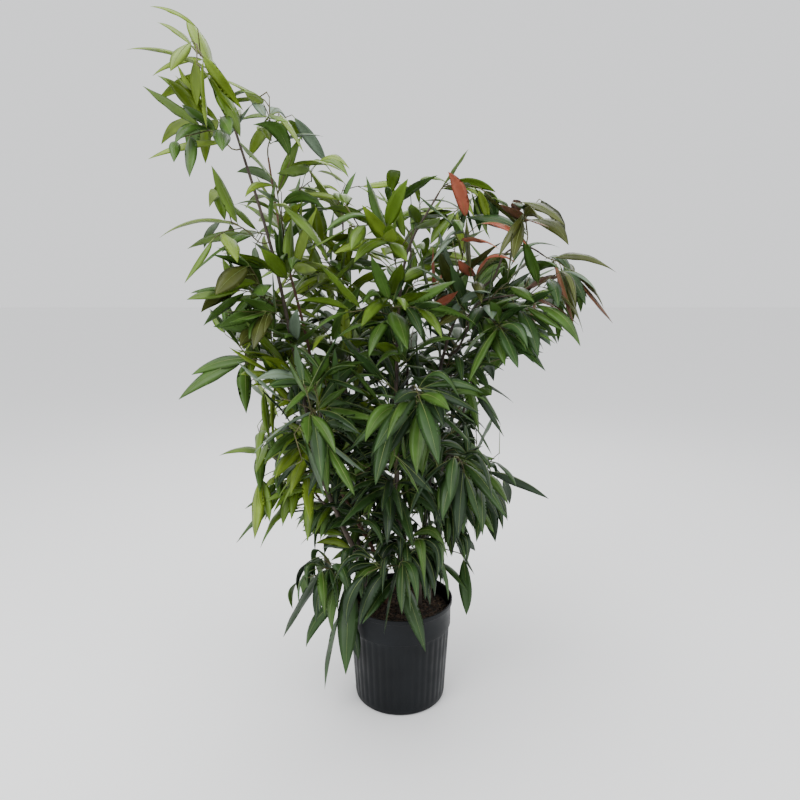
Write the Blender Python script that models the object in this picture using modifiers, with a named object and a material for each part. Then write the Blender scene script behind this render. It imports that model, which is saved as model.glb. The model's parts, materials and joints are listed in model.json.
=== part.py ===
"""A potted amstel king ficus: a bush of several leaning stems with long hanging leaves, in a ribbed pot.

Metres, +Z up. The origin is the centre of the pot's flat underside, and the front faces -Y.
Stems rise from the soil, boughs leave the stems, and each mass of leaves grows on one limb
by the same seeded rule: a leader, side twigs round it, and leaves that hang from both.
"""

import itertools
import math
import random

import bmesh
import bpy
from mathutils import Matrix, Vector
from mathutils.bvhtree import BVHTree
from mathutils.geometry import interpolate_bezier

# Pot
POT_HEIGHT = 0.36
POT_FOOT_RADIUS = 0.155
POT_BAND_RADIUS = 0.171
POT_COLLAR_RADIUS = 0.1755
POT_LIP_RADIUS = 0.18
POT_LIP_HEIGHT = 0.016
POT_LIP_THICKNESS = 0.0036
POT_LIP_DRAFT = 0.0009
POT_LIP_EDGE = 0.001
POT_LIP_STEP = 0.003
POT_COLLAR_HEIGHT = 0.268
POT_WALL = 0.003
POT_FLOOR = 0.008
POT_FOOT_ROUNDING = 0.012
FOOT_ROUND_SHARE = 0.3
RIB_COUNT = 42
RIB_DEPTH = 0.0015
RIB_BOTTOM = 0.034
RIB_TOP = 0.256
RIB_RUN_OUT = 0.008

# Soil
SOIL_TOP = 0.315
SOIL_FLAT_RADIUS = 0.14
SOIL_COLUMNS = 24
SOIL_EDGE_DROP = 0.006
GAP = 0.0003

# Limbs
FIRST_RUN = 0.01
OUTSIDE = 0.1
FLARE_LENGTH = 0.025
STEM_FLARE = 0.006
STEM_STEPS = 3
BOUGH_STEPS = 2
STEM_BEVEL_STEPS = 2
BOUGH_BEVEL_STEPS = 1

# Each stem: its foot on the soil, the way points of its axis, its radius above the foot and at the tip.
STEMS = {
    "stem_tall": (
        (-0.10, -0.03),
        ((-0.25, -0.05, 0.79), (-0.32, -0.07, 1.16), (-0.39, -0.08, 1.54), (-0.51, -0.10, 1.98)),
        0.0095,
        0.0032,
    ),
    "stem_russet": (
        (-0.045, 0.035),
        ((-0.23, 0.04, 0.80), (-0.30, 0.03, 1.23), (-0.37, 0.01, 1.56), (-0.40, -0.01, 1.80)),
        0.0075,
        0.003,
    ),
    "stem_left": (
        (-0.13, 0.05),
        ((-0.17, 0.10, 0.74), (-0.19, 0.14, 1.16), (-0.19, 0.16, 1.62)),
        0.007,
        0.003,
    ),
    "stem_centre": (
        (0.005, -0.035),
        ((-0.01, -0.03, 0.82), (-0.01, -0.03, 1.18), (0.02, -0.01, 1.51), (0.12, 0.02, 1.70)),
        0.0105,
        0.003,
    ),
    "stem_right": (
        (0.065, 0.02),
        ((0.10, 0.04, 0.76), (0.12, 0.03, 1.08), (0.19, 0.01, 1.34), (0.28, -0.02, 1.43)),
        0.009,
        0.0038,
    ),
    "stem_back_left": (
        (-0.06, 0.10),
        ((-0.12, 0.20, 0.78), (-0.18, 0.28, 1.14), (-0.24, 0.34, 1.45)),
        0.0075,
        0.003,
    ),
    "stem_back": (
        (0.015, 0.095),
        ((0.02, 0.20, 0.80), (0.03, 0.28, 1.20), (0.04, 0.36, 1.56)),
        0.0085,
        0.003,
    ),
    "stem_back_right": (
        (0.105, 0.07),
        ((0.17, 0.15, 0.72), (0.24, 0.21, 1.02), (0.32, 0.26, 1.32)),
        0.0075,
        0.003,
    ),
}

# Each bough: the limb it leaves and where along it, its way points, its radius at the foot and at the tip.
BOUGHS = {
    "bough_arch": (
        "stem_right", 1.0, ((0.32, -0.03, 1.51), (0.38, -0.04, 1.54), (0.44, -0.05, 1.51)), 0.0036, 0.0025,
    ),
    "bough_arch_low": ("stem_right", 0.76, ((0.24, -0.04, 1.36), (0.35, -0.06, 1.39)), 0.0042, 0.0025),
    "bough_left_mid": ("stem_tall", 0.46, ((-0.38, -0.08, 1.17), (-0.44, -0.07, 1.19)), 0.0042, 0.0025),
    "bough_left_low": ("stem_tall", 0.24, ((-0.33, -0.02, 0.82), (-0.40, -0.01, 0.85)), 0.0042, 0.0025),
    "bough_right_mid": ("stem_right", 0.56, ((0.15, 0.01, 1.12), (0.18, 0.00, 1.13)), 0.0042, 0.0025),
    "bough_right_low": ("stem_right", 0.30, ((0.17, 0.04, 0.78), (0.23, 0.03, 0.80)), 0.0042, 0.0025),
    "bough_front_left": ("stem_tall", 0.36, ((-0.24, -0.18, 1.04), (-0.23, -0.27, 1.07)), 0.0042, 0.0025),
    "bough_front": ("stem_centre", 0.46, ((0.03, -0.15, 1.10), (0.04, -0.25, 1.14)), 0.0042, 0.0025),
    "bough_front_right": ("stem_right", 0.36, ((0.15, -0.08, 0.88), (0.18, -0.18, 0.90)), 0.0042, 0.0025),
    "bough_back_left": ("stem_back_left", 0.34, ((-0.22, 0.24, 0.88), (-0.29, 0.25, 0.92)), 0.0042, 0.0025),
    "bough_back_right": ("stem_back_right", 0.30, ((0.22, 0.22, 0.70), (0.26, 0.28, 0.74)), 0.0042, 0.0025),
}

# Twigs
GOLDEN_ANGLE = math.radians(137.5)
LEADER_RADIUS = 0.0032
TWIG_RADIUS = 0.0026
TWIG_TAPER = 0.65
LEADER_ARCH = 0.08
LEADER_STEP = 0.2
LEAVES_PER_TWIG = 5
FIRST_TWIG = 0.28
TWIG_RUN = 0.62
TWIG_FORWARD = 0.55
TWIG_OUTWARD = 0.8
TWIG_RISE = 0.15
TWIG_BEND = 0.25
SHORTEST_TWIG = 0.45
LONGEST_TWIG = 0.7
TWIG_SINK = 0.0004
TOUCH_GAP = 0.001

# Leaves, whose measures are shares of their length
LEAF_WIDTH = 0.25
LEAF_THICKNESS = 0.0105
WIDEST_AT = 0.44
LEAF_SINK = 0.0003
LEAF_SPACING = 0.045
LEAF_ROWS = 8
END_LEAF_AT = 0.97
BARE_LEADER = 0.3
BARE_TWIG = 0.2
END_OPENING = math.radians(20)
SIDE_OPENING = math.radians(52)
SMALLEST_LEAF = 0.82
LARGEST_LEAF = 1.12
HANG_VARIETY = 0.2
LEAST_HANG = 0.05
MOST_HANG = 0.95
FIRST_HANG = 0.4
LEAF_ROLL = 0.85
LOWEST_LEAF = 0.006

# The outermost leaves, which reach stated tips
TIP_REACH = 1.1
TIP_REACH_STEP = 0.06
TIP_TWIG_FROM = 1.35
TIP_TWIG_RISE = 0.3
STEEP_BOW = 0.04
LEVEL_BOW = 0.1
LEAST_BOW = 0.7
MOST_BOW = 1.3
TIP_ROLL = 0.7
TIP_SHIFT = 0.006

# The rule's limits
TRESPASS = 0.05
TRIES = 10
RETRY_SHRINK = 0.04
LINE_POINTS = 9
GRID_CELL = 0.08

# The crown's reach at each height: to the left, to the right, and to the front and back.
# Only the stated leaf tips stand out further.
CROWN_REACH = (
    (0.00, -0.30, 0.20, 0.26),
    (0.30, -0.38, 0.22, 0.30),
    (0.50, -0.44, 0.26, 0.36),
    (0.62, -0.54, 0.42, 0.44),
    (0.78, -0.54, 0.44, 0.50),
    (0.88, -0.51, 0.35, 0.54),
    (1.02, -0.49, 0.33, 0.56),
    (1.15, -0.52, 0.36, 0.56),
    (1.24, -0.60, 0.54, 0.54),
    (1.40, -0.68, 0.66, 0.52),
    (1.54, -0.68, 0.62, 0.50),
    (1.66, -0.62, 0.48, 0.46),
    (1.74, -0.70, 0.20, 0.42),
    (1.79, -0.72, -0.10, 0.38),
    (1.85, -0.74, -0.27, 0.34),
    (1.94, -0.74, -0.27, 0.30),
    (2.05, -0.76, -0.44, 0.26),
    (2.19, -0.72, -0.54, 0.20),
)
CROWN_ROUNDNESS = 2.6

# Each mass: its limb and the place along it, the end of its leader, the leaf tips that it reaches,
# then how many leaves it has, their length, how far they hang (0 level, 1 straight down) and its spread.
MASSES = {
    "leaves_tall_tip": (
        "stem_tall", 1.0, (-0.59, -0.10, 2.09),
        ((-0.62, -0.02, 2.19), (-0.76, -0.14, 2.07), (-0.76, -0.03, 2.02), (-0.70, -0.10, 1.95)),
        8, 0.215, 0.3, 0.22,
    ),
    "leaves_tall_upper": (
        "stem_tall", 0.90, (-0.57, -0.13, 1.87),
        ((-0.72, -0.14, 1.78),),
        10, 0.215, 0.32, 0.23,
    ),
    "leaves_tall_left": (
        "stem_tall", 0.74, (-0.52, -0.13, 1.61),
        ((-0.70, -0.15, 1.56), (-0.65, -0.05, 1.53), (-0.50, -0.24, 1.52)),
        10, 0.215, 0.3, 0.23,
    ),
    "leaves_tall_right": (
        "stem_russet", 1.0, (-0.36, -0.02, 1.93),
        ((-0.23, -0.02, 1.86), (-0.43, 0.05, 1.90), (-0.28, -0.10, 1.80)),
        10, 0.205, 0.32, 0.21,
    ),
    "leaves_tall_inner": (
        "stem_russet", 0.84, (-0.36, -0.13, 1.72),
        ((-0.37, -0.20, 1.55), (-0.28, -0.15, 1.66)),
        10, 0.215, 0.38, 0.23,
    ),
    "leaves_tall_back": (
        "stem_russet", 0.80, (-0.40, 0.13, 1.66),
        ((-0.33, 0.18, 1.77), (-0.54, 0.20, 1.68), (-0.40, 0.30, 1.58)),
        10, 0.205, 0.32, 0.24,
    ),
    "leaves_tall_low": (
        "stem_tall", 0.63, (-0.50, -0.11, 1.41),
        ((-0.64, -0.12, 1.38), (-0.60, -0.10, 1.30), (-0.55, -0.05, 1.49)),
        10, 0.155, 0.3, 0.22,
    ),
    "leaves_left_mid": (
        "bough_left_mid", 1.0, (-0.49, -0.05, 1.18),
        ((-0.69, -0.10, 1.07), (-0.66, -0.05, 1.14), (-0.46, -0.20, 1.05)),
        10, 0.205, 0.3, 0.23,
    ),
    "leaves_left_low": (
        "bough_left_low", 1.0, (-0.46, -0.01, 0.88),
        ((-0.60, 0.00, 0.86), (-0.44, -0.14, 0.78)),
        10, 0.19, 0.38, 0.22,
    ),
    "leaves_left_lower": (
        "stem_left", 0.24, (-0.42, 0.06, 0.71),
        ((-0.57, 0.05, 0.53), (-0.55, 0.12, 0.63), (-0.40, 0.20, 0.60)),
        10, 0.205, 0.45, 0.23,
    ),
    "leaves_pot_left": (
        "stem_tall", 0.07, (-0.26, -0.08, 0.50),
        ((-0.40, -0.05, 0.23), (-0.25, -0.15, 0.10), (-0.17, -0.22, 0.20)),
        9, 0.23, 0.75, 0.27,
    ),
    "leaves_left_crown": (
        "stem_left", 1.0, (-0.23, 0.16, 1.70),
        ((-0.30, 0.10, 1.79), (-0.15, 0.20, 1.78), (-0.20, 0.30, 1.62)),
        10, 0.19, 0.3, 0.23,
    ),
    "leaves_left_upper": (
        "stem_left", 0.82, (-0.25, 0.03, 1.52),
        ((-0.32, -0.06, 1.40), (-0.14, -0.02, 1.58)),
        10, 0.205, 0.3, 0.22,
    ),
    "leaves_left_inner": (
        "stem_left", 0.55, (-0.22, -0.02, 1.25),
        ((-0.13, -0.10, 1.18), (-0.34, 0.05, 1.20)),
        11, 0.215, 0.32, 0.22,
    ),
    "leaves_left_front": (
        "bough_front_left", 1.0, (-0.25, -0.36, 1.08),
        ((-0.40, -0.42, 0.98), (-0.20, -0.52, 0.94), (-0.15, -0.38, 1.16)),
        10, 0.215, 0.32, 0.24,
    ),
    "leaves_centre_top": (
        "stem_centre", 1.0, (0.15, 0.02, 1.73),
        ((0.21, 0.02, 1.83), (0.05, -0.06, 1.72)),
        10, 0.19, 0.32, 0.22,
    ),
    "leaves_centre_upper": (
        "stem_centre", 0.80, (-0.06, -0.12, 1.60),
        ((-0.10, -0.08, 1.74), (-0.16, -0.18, 1.52), (0.02, -0.20, 1.50)),
        11, 0.215, 0.3, 0.23,
    ),
    "leaves_centre_front": (
        "stem_centre", 0.66, (-0.03, -0.20, 1.38),
        ((-0.18, -0.27, 1.28), (0.02, -0.36, 1.26), (0.14, -0.24, 1.36)),
        11, 0.215, 0.32, 0.23,
    ),
    "leaves_centre_low": (
        "stem_centre", 0.30, (-0.04, -0.19, 0.84),
        ((-0.18, -0.28, 0.72), (0.04, -0.30, 0.66), (-0.08, -0.34, 0.90)),
        11, 0.23, 0.45, 0.23,
    ),
    "leaves_pot_front": (
        "stem_centre", 0.09, (0.00, -0.17, 0.56),
        ((-0.05, -0.24, 0.35), (0.08, -0.24, 0.29), (-0.12, -0.26, 0.40)),
        9, 0.23, 0.8, 0.24,
    ),
    "leaves_red": (
        "stem_right", 0.90, (0.20, -0.08, 1.62),
        ((0.21, -0.14, 1.44), (0.31, -0.07, 1.55), (0.11, -0.12, 1.58)),
        10, 0.215, 0.32, 0.22,
    ),
    "leaves_arch_top": (
        "bough_arch", 0.72, (0.38, -0.05, 1.65),
        ((0.25, -0.05, 1.69), (0.49, -0.08, 1.57), (0.31, -0.11, 1.60)),
        8, 0.215, 0.32, 0.22,
    ),
    "leaves_arch_tip": (
        "bough_arch", 1.0, (0.51, -0.07, 1.47),
        ((0.65, -0.10, 1.46), (0.64, -0.13, 1.31), (0.56, -0.10, 1.28)),
        10, 0.205, 0.38, 0.22,
    ),
    "leaves_arch_under": (
        "bough_arch_low", 1.0, (0.41, -0.07, 1.39),
        ((0.55, -0.08, 1.30),),
        10, 0.215, 0.45, 0.22,
    ),
    "leaves_arch_low": (
        "bough_arch_low", 0.55, (0.32, -0.12, 1.28),
        ((0.45, -0.10, 1.16), (0.40, -0.18, 1.20), (0.30, -0.26, 1.20)),
        10, 0.215, 0.38, 0.22,
    ),
    "leaves_right_upper": (
        "stem_right", 0.66, (0.22, 0.12, 1.27),
        ((0.35, 0.12, 1.22), (0.24, 0.28, 1.20), (0.10, 0.14, 1.38)),
        10, 0.205, 0.32, 0.22,
    ),
    "leaves_right_mid": (
        "bough_right_mid", 1.0, (0.23, -0.02, 1.12),
        ((0.37, 0.00, 1.04), (0.34, -0.02, 0.93), (0.24, -0.16, 0.98)),
        10, 0.205, 0.38, 0.22,
    ),
    "leaves_right_low": (
        "bough_right_low", 1.0, (0.29, 0.02, 0.80),
        ((0.50, 0.00, 0.71), (0.32, 0.16, 0.74)),
        9, 0.215, 0.45, 0.22,
    ),
    "leaves_right_pot": (
        "stem_right", 0.12, (0.18, -0.05, 0.60),
        ((0.25, -0.05, 0.46), (0.22, -0.14, 0.44), (0.26, 0.06, 0.50)),
        10, 0.205, 0.75, 0.23,
    ),
    "leaves_front": (
        "bough_front", 1.0, (0.06, -0.33, 1.10),
        ((0.10, -0.50, 0.98), (-0.07, -0.46, 1.00), (0.22, -0.36, 1.08)),
        11, 0.215, 0.38, 0.23,
    ),
    "leaves_front_right": (
        "bough_front_right", 1.0, (0.19, -0.26, 0.88),
        ((0.30, -0.36, 0.78), (0.16, -0.42, 0.74), (0.10, -0.30, 0.86)),
        10, 0.215, 0.45, 0.23,
    ),
    "leaves_back_left_top": (
        "stem_back_left", 1.0, (-0.28, 0.38, 1.50),
        ((-0.42, 0.44, 1.44), (-0.24, 0.36, 1.68), (-0.20, 0.54, 1.42)),
        10, 0.215, 0.32, 0.24,
    ),
    "leaves_back_left_mid": (
        "stem_back_left", 0.62, (-0.34, 0.34, 1.16),
        ((-0.50, 0.36, 1.06), (-0.28, 0.52, 1.04)),
        10, 0.215, 0.38, 0.24,
    ),
    "leaves_back_left": (
        "bough_back_left", 1.0, (-0.36, 0.27, 0.92),
        ((-0.53, 0.30, 0.82), (-0.36, 0.42, 0.74)),
        10, 0.215, 0.45, 0.23,
    ),
    "leaves_back_top": (
        "stem_back", 1.0, (0.05, 0.38, 1.62),
        ((0.02, 0.54, 1.52), (-0.08, 0.32, 1.74), (0.16, 0.34, 1.72)),
        10, 0.215, 0.32, 0.24,
    ),
    "leaves_back_mid": (
        "stem_back", 0.66, (0.05, 0.42, 1.24),
        ((0.04, 0.60, 1.10), (-0.10, 0.48, 1.18), (0.20, 0.44, 1.22)),
        10, 0.215, 0.38, 0.24,
    ),
    "leaves_back_low": (
        "stem_back", 0.30, (0.03, 0.34, 0.80),
        ((0.04, 0.48, 0.62), (-0.14, 0.40, 0.70)),
        10, 0.215, 0.55, 0.24,
    ),
    "leaves_back_right_top": (
        "stem_back_right", 1.0, (0.36, 0.28, 1.36),
        ((0.52, 0.30, 1.30), (0.32, 0.44, 1.32), (0.30, 0.22, 1.52)),
        10, 0.215, 0.32, 0.24,
    ),
    "leaves_back_right_mid": (
        "bough_back_right", 1.0, (0.30, 0.32, 0.80),
        ((0.40, 0.34, 0.68), (0.26, 0.48, 0.66), (0.34, 0.22, 0.96)),
        10, 0.215, 0.38, 0.24,
    ),
}

UP = Vector((0, 0, 1))


def clear_scene():
    for obj in list(bpy.data.objects):
        bpy.data.objects.remove(obj, do_unlink=True)


def new_collection(name, hidden=False):
    collection = bpy.data.collections.new(name)
    bpy.context.scene.collection.children.link(collection)
    collection.hide_render = hidden
    return collection


def new_material(name, colour, roughness):
    material = bpy.data.materials.new(name)
    material.use_nodes = True
    shader = material.node_tree.nodes["Principled BSDF"]
    shader.inputs["Base Color"].default_value = (*colour, 1)
    shader.inputs["Roughness"].default_value = roughness
    shader.inputs["Metallic"].default_value = 0
    return material


def mesh_object(name, solid, material, collection):
    """An object from the points and faces of one solid."""
    mesh = bpy.data.meshes.new(name)
    mesh.from_pydata([tuple(p) for p in solid[0]], [], solid[1])
    obj = bpy.data.objects.new(name, mesh)
    if material:
        obj.data.materials.append(material)
    collection.objects.link(obj)
    return obj


def as_mesh(obj):
    """Replaces a curve, or an object with modifiers, by its finished mesh with the ends welded."""
    graph = bpy.context.evaluated_depsgraph_get()
    mesh = bpy.data.meshes.new_from_object(obj.evaluated_get(graph))
    work = bmesh.new()
    work.from_mesh(mesh)
    bmesh.ops.remove_doubles(work, verts=work.verts, dist=1e-6)
    bmesh.ops.recalc_face_normals(work, faces=work.faces)
    work.to_mesh(mesh)
    work.free()
    name, material, collection = obj.name, obj.data.materials[0], obj.users_collection[0]
    bpy.data.objects.remove(obj, do_unlink=True)
    mesh.name = name
    if not mesh.materials:
        mesh.materials.append(material)
    solid = bpy.data.objects.new(name, mesh)
    collection.objects.link(solid)
    return solid


def turned_object(name, profile, columns, material, collection):
    """Turns a profile, given as radius and height down its outer side, about the vertical axis."""
    mesh = bpy.data.meshes.new(name)
    points = [(radius, 0, height) for radius, height in profile]
    mesh.from_pydata(points, [(i, i + 1) for i in range(len(points) - 1)], [])
    mesh.materials.append(material)
    obj = bpy.data.objects.new(name, mesh)
    collection.objects.link(obj)
    screw = obj.modifiers.new("turn", "SCREW")
    screw.steps = columns
    screw.render_steps = columns
    screw.use_merge_vertices = True
    screw.merge_threshold = 0.0001
    return as_mesh(obj)


def make_pot(material, collection):
    """A turned wall with a floor, whose band is pressed into upright ribs below a plain collar."""
    def band_radius(height):
        share = height / POT_COLLAR_HEIGHT
        return POT_FOOT_RADIUS + (POT_BAND_RADIUS - POT_FOOT_RADIUS) * share

    inner_foot = POT_FOOT_RADIUS - POT_WALL
    inner_top = POT_BAND_RADIUS - POT_WALL
    lip_under = POT_HEIGHT - POT_LIP_HEIGHT
    foot_round = FOOT_ROUND_SHARE * POT_FOOT_ROUNDING
    profile = [
        (0, POT_FLOOR),
        (inner_foot, POT_FLOOR),
        (inner_top, POT_COLLAR_HEIGHT),
        (POT_LIP_RADIUS - POT_LIP_THICKNESS, POT_HEIGHT),
        (POT_LIP_RADIUS - POT_LIP_DRAFT, POT_HEIGHT - POT_LIP_EDGE),
        (POT_LIP_RADIUS, lip_under),
        (POT_COLLAR_RADIUS, lip_under - POT_LIP_STEP),
        (POT_COLLAR_RADIUS, POT_COLLAR_HEIGHT),
        (band_radius(RIB_TOP + RIB_RUN_OUT), RIB_TOP + RIB_RUN_OUT),
        (band_radius(RIB_TOP), RIB_TOP),
        (band_radius(RIB_BOTTOM), RIB_BOTTOM),
        (POT_FOOT_RADIUS, POT_FOOT_ROUNDING),
        (POT_FOOT_RADIUS - foot_round, foot_round),
        (POT_FOOT_RADIUS - POT_FOOT_ROUNDING, 0),
        (0, 0),
    ]
    columns = 2 * RIB_COUNT
    pot = turned_object("pot", profile, columns, material, collection)
    for vertex in pot.data.vertices:
        radius = math.hypot(vertex.co.x, vertex.co.y)
        on_band = RIB_BOTTOM - 1e-4 < vertex.co.z < RIB_TOP + 1e-4 and radius > POT_FOOT_RADIUS
        column = round(math.atan2(vertex.co.y, vertex.co.x) / math.tau * columns)
        if on_band and column % 2:
            vertex.co.x *= 1 - RIB_DEPTH / radius
            vertex.co.y *= 1 - RIB_DEPTH / radius
    return pot


def make_soil(material, collection):
    """Potting soil from the pot's floor up to a flat top that falls off a little at the wall."""
    slope = (POT_BAND_RADIUS - POT_FOOT_RADIUS) / (POT_COLLAR_HEIGHT - POT_FLOOR)
    bottom = POT_FLOOR + GAP
    low_radius = POT_FOOT_RADIUS - POT_WALL - GAP
    shoulder_radius = low_radius + slope * (POT_COLLAR_HEIGHT - bottom) - GAP
    profile = [
        (0, SOIL_TOP),
        (SOIL_FLAT_RADIUS, SOIL_TOP),
        (shoulder_radius, SOIL_TOP - SOIL_EDGE_DROP),
        (shoulder_radius, POT_COLLAR_HEIGHT),
        (low_radius, bottom),
        (0, bottom),
    ]
    return turned_object("soil", profile, SOIL_COLUMNS, material, collection)


def smooth_path(points, heading, steps):
    """Points on a curve that leaves the first point along heading and passes through the rest."""
    tangents = [heading]
    for before, after in zip(points, points[2:]):
        tangents.append((after - before).normalized())
    tangents.append((points[-1] - points[-2]).normalized())
    path = [points[0]]
    for i in range(len(points) - 1):
        start, end = points[i], points[i + 1]
        third = (end - start).length / 3
        run = interpolate_bezier(
            start, start + tangents[i] * third, end - tangents[i + 1] * third, end, steps + 1
        )
        path += run[1:]
    return path


def lengths_along(path):
    """The distance from the path's start to each of its points."""
    along = [0.0]
    for before, after in zip(path, path[1:]):
        along.append(along[-1] + (after - before).length)
    return along


def place_on(path, share):
    """The point at a share of the path's length, and the path's direction there."""
    along = lengths_along(path)
    wanted = share * along[-1]
    for i in range(len(path) - 1):
        if wanted <= along[i + 1] or i == len(path) - 2:
            step = path[i + 1] - path[i]
            return path[i] + step * ((wanted - along[i]) / step.length), step.normalized()


def tree_of(solid):
    return BVHTree.FromPolygons(solid[0], solid[1])


def tree_of_object(obj):
    mesh = obj.data
    return BVHTree.FromPolygons(
        [v.co.copy() for v in mesh.vertices], [tuple(p.vertices) for p in mesh.polygons]
    )


def start_on(limb, share, target):
    """Where a branch leaves a limb, a hair clear of the limb's surface, and its first direction."""
    point, tangent = place_on(limb["path"], share)
    if share >= 1:
        return point + tangent * GAP, tangent
    away = target - point
    away = (away - tangent * away.dot(tangent)).normalized()
    found, normal, _, _ = limb["tree"].ray_cast(point + away * OUTSIDE, -away, OUTSIDE)
    return found + normal * GAP, normal


def limb_object(name, path, radii, bevel_steps, material, collection):
    """A tapering limb: a curve with a round section, then closed as a mesh."""
    curve = bpy.data.curves.new(name, "CURVE")
    curve.dimensions = "3D"
    curve.bevel_depth = 1.0
    curve.bevel_resolution = bevel_steps
    curve.use_fill_caps = True
    curve.materials.append(material)
    spline = curve.splines.new("POLY")
    spline.points.add(len(path) - 1)
    for point, place, radius in zip(spline.points, path, radii):
        point.co = (*place, 1)
        point.radius = radius
    obj = bpy.data.objects.new(name, curve)
    collection.objects.link(obj)
    return as_mesh(obj)


def make_limb(name, start, heading, way, radii, flare, steps, material, collection):
    """One limb from a flat foot: straight off for a moment, then through its way points."""
    path_steps, bevel_steps = steps
    bend = start + heading * FIRST_RUN
    path = [start] + smooth_path([bend] + [Vector(p) for p in way], heading, path_steps)
    along = lengths_along(path)
    foot, tip = radii
    widths = [
        foot + (tip - foot) * s / along[-1] + flare * math.exp(-s / FLARE_LENGTH) for s in along
    ]
    obj = limb_object(name, path, widths, bevel_steps, material, collection)
    return {"name": name, "path": path, "tree": tree_of_object(obj), "object": obj}


def make_limbs(bark, collection):
    limbs = {}
    for name, (foot, way, *radii) in STEMS.items():
        start = Vector((*foot, SOIL_TOP + GAP))
        steps = (STEM_STEPS, STEM_BEVEL_STEPS)
        limbs[name] = make_limb(name, start, UP, way, radii, STEM_FLARE, steps, bark, collection)
    for name, (parent, share, way, *radii) in BOUGHS.items():
        start, heading = start_on(limbs[parent], share, Vector(way[0]))
        steps = (BOUGH_STEPS, BOUGH_BEVEL_STEPS)
        limbs[name] = make_limb(name, start, heading, way, radii, 0, steps, bark, collection)
    return limbs


def across(direction):
    """A direction square to the given one."""
    helper = UP if abs(direction.z) < 0.9 else Vector((1, 0, 0))
    return direction.cross(helper).normalized()


def twig_solid(path, radii):
    """A three-sided tapering twig with flat ends, as points and triangles."""
    points, faces = [], []
    side = across((path[1] - path[0]).normalized())
    for i, place in enumerate(path):
        tangent = (path[min(i + 1, len(path) - 1)] - path[max(i - 1, 0)]).normalized()
        if i == 0:
            tangent = (path[1] - path[0]).normalized()
        side = (side - tangent * side.dot(tangent)).normalized()
        other = tangent.cross(side)
        for k in range(3):
            angle = math.tau * k / 3
            points.append(place + (side * math.cos(angle) + other * math.sin(angle)) * radii[i])
    for i in range(len(path) - 1):
        for k in range(3):
            a, b = 3 * i + k, 3 * i + (k + 1) % 3
            faces += [(a, b, b + 3), (a, b + 3, a + 3)]
    last = len(points) - 3
    faces += [(2, 1, 0), (last, last + 1, last + 2)]
    return points, faces


def leaf_solid(leaf, grow=0.0):
    """A leaf of eight faces: root, four points at its widest place, and tip."""
    base, middle, tip, side = leaf["base"], leaf["middle"], leaf["tip"], leaf["side"]
    along = (tip - base).normalized()
    normal = side.cross(along).normalized()
    half_width = leaf["length"] * LEAF_WIDTH / 2 + grow
    half_thickness = leaf["length"] * LEAF_THICKNESS / 2 + grow
    ring = [
        middle + side * half_width,
        middle + normal * half_thickness,
        middle - side * half_width,
        middle - normal * half_thickness,
    ]
    points = [base, *ring, tip + along * grow]
    faces = []
    for k in range(4):
        a, b = 1 + k, 1 + (k + 1) % 4
        faces += [(0, a, b), (5, b, a)]
    return points, faces


def leaf_shape(base, middle, tip, roll):
    """A leaf whose blade faces up as far as its direction lets it, turned by roll about its length."""
    along = (tip - base).normalized()
    side = Matrix.Rotation(roll, 3, along) @ across(along)
    return {"base": base, "middle": middle, "tip": tip, "side": side, "length": (tip - base).length}


def in_crown(point):
    """Whether a point lies within the crown's reach at its height, in a rounded section."""
    rows = CROWN_REACH
    if not rows[0][0] <= point.z < rows[-1][0]:
        return False
    below, above = next((a, b) for a, b in zip(rows, rows[1:]) if point.z < b[0])
    share = (point.z - below[0]) / (above[0] - below[0])
    left, right, depth = (a + (b - a) * share for a, b in zip(below[1:], above[1:]))
    sideways = abs(point.x - (left + right) / 2) / ((right - left) / 2)
    return sideways**CROWN_ROUNDNESS + abs(point.y / depth) ** CROWN_ROUNDNESS <= 1


def cells_of(points):
    """The cells of the search grid that the box of some points meets."""
    low = [math.floor(min(p[i] for p in points) / GRID_CELL) for i in range(3)]
    high = [math.floor(max(p[i] for p in points) / GRID_CELL) for i in range(3)]
    return itertools.product(*(range(a, b + 1) for a, b in zip(low, high)))


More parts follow.
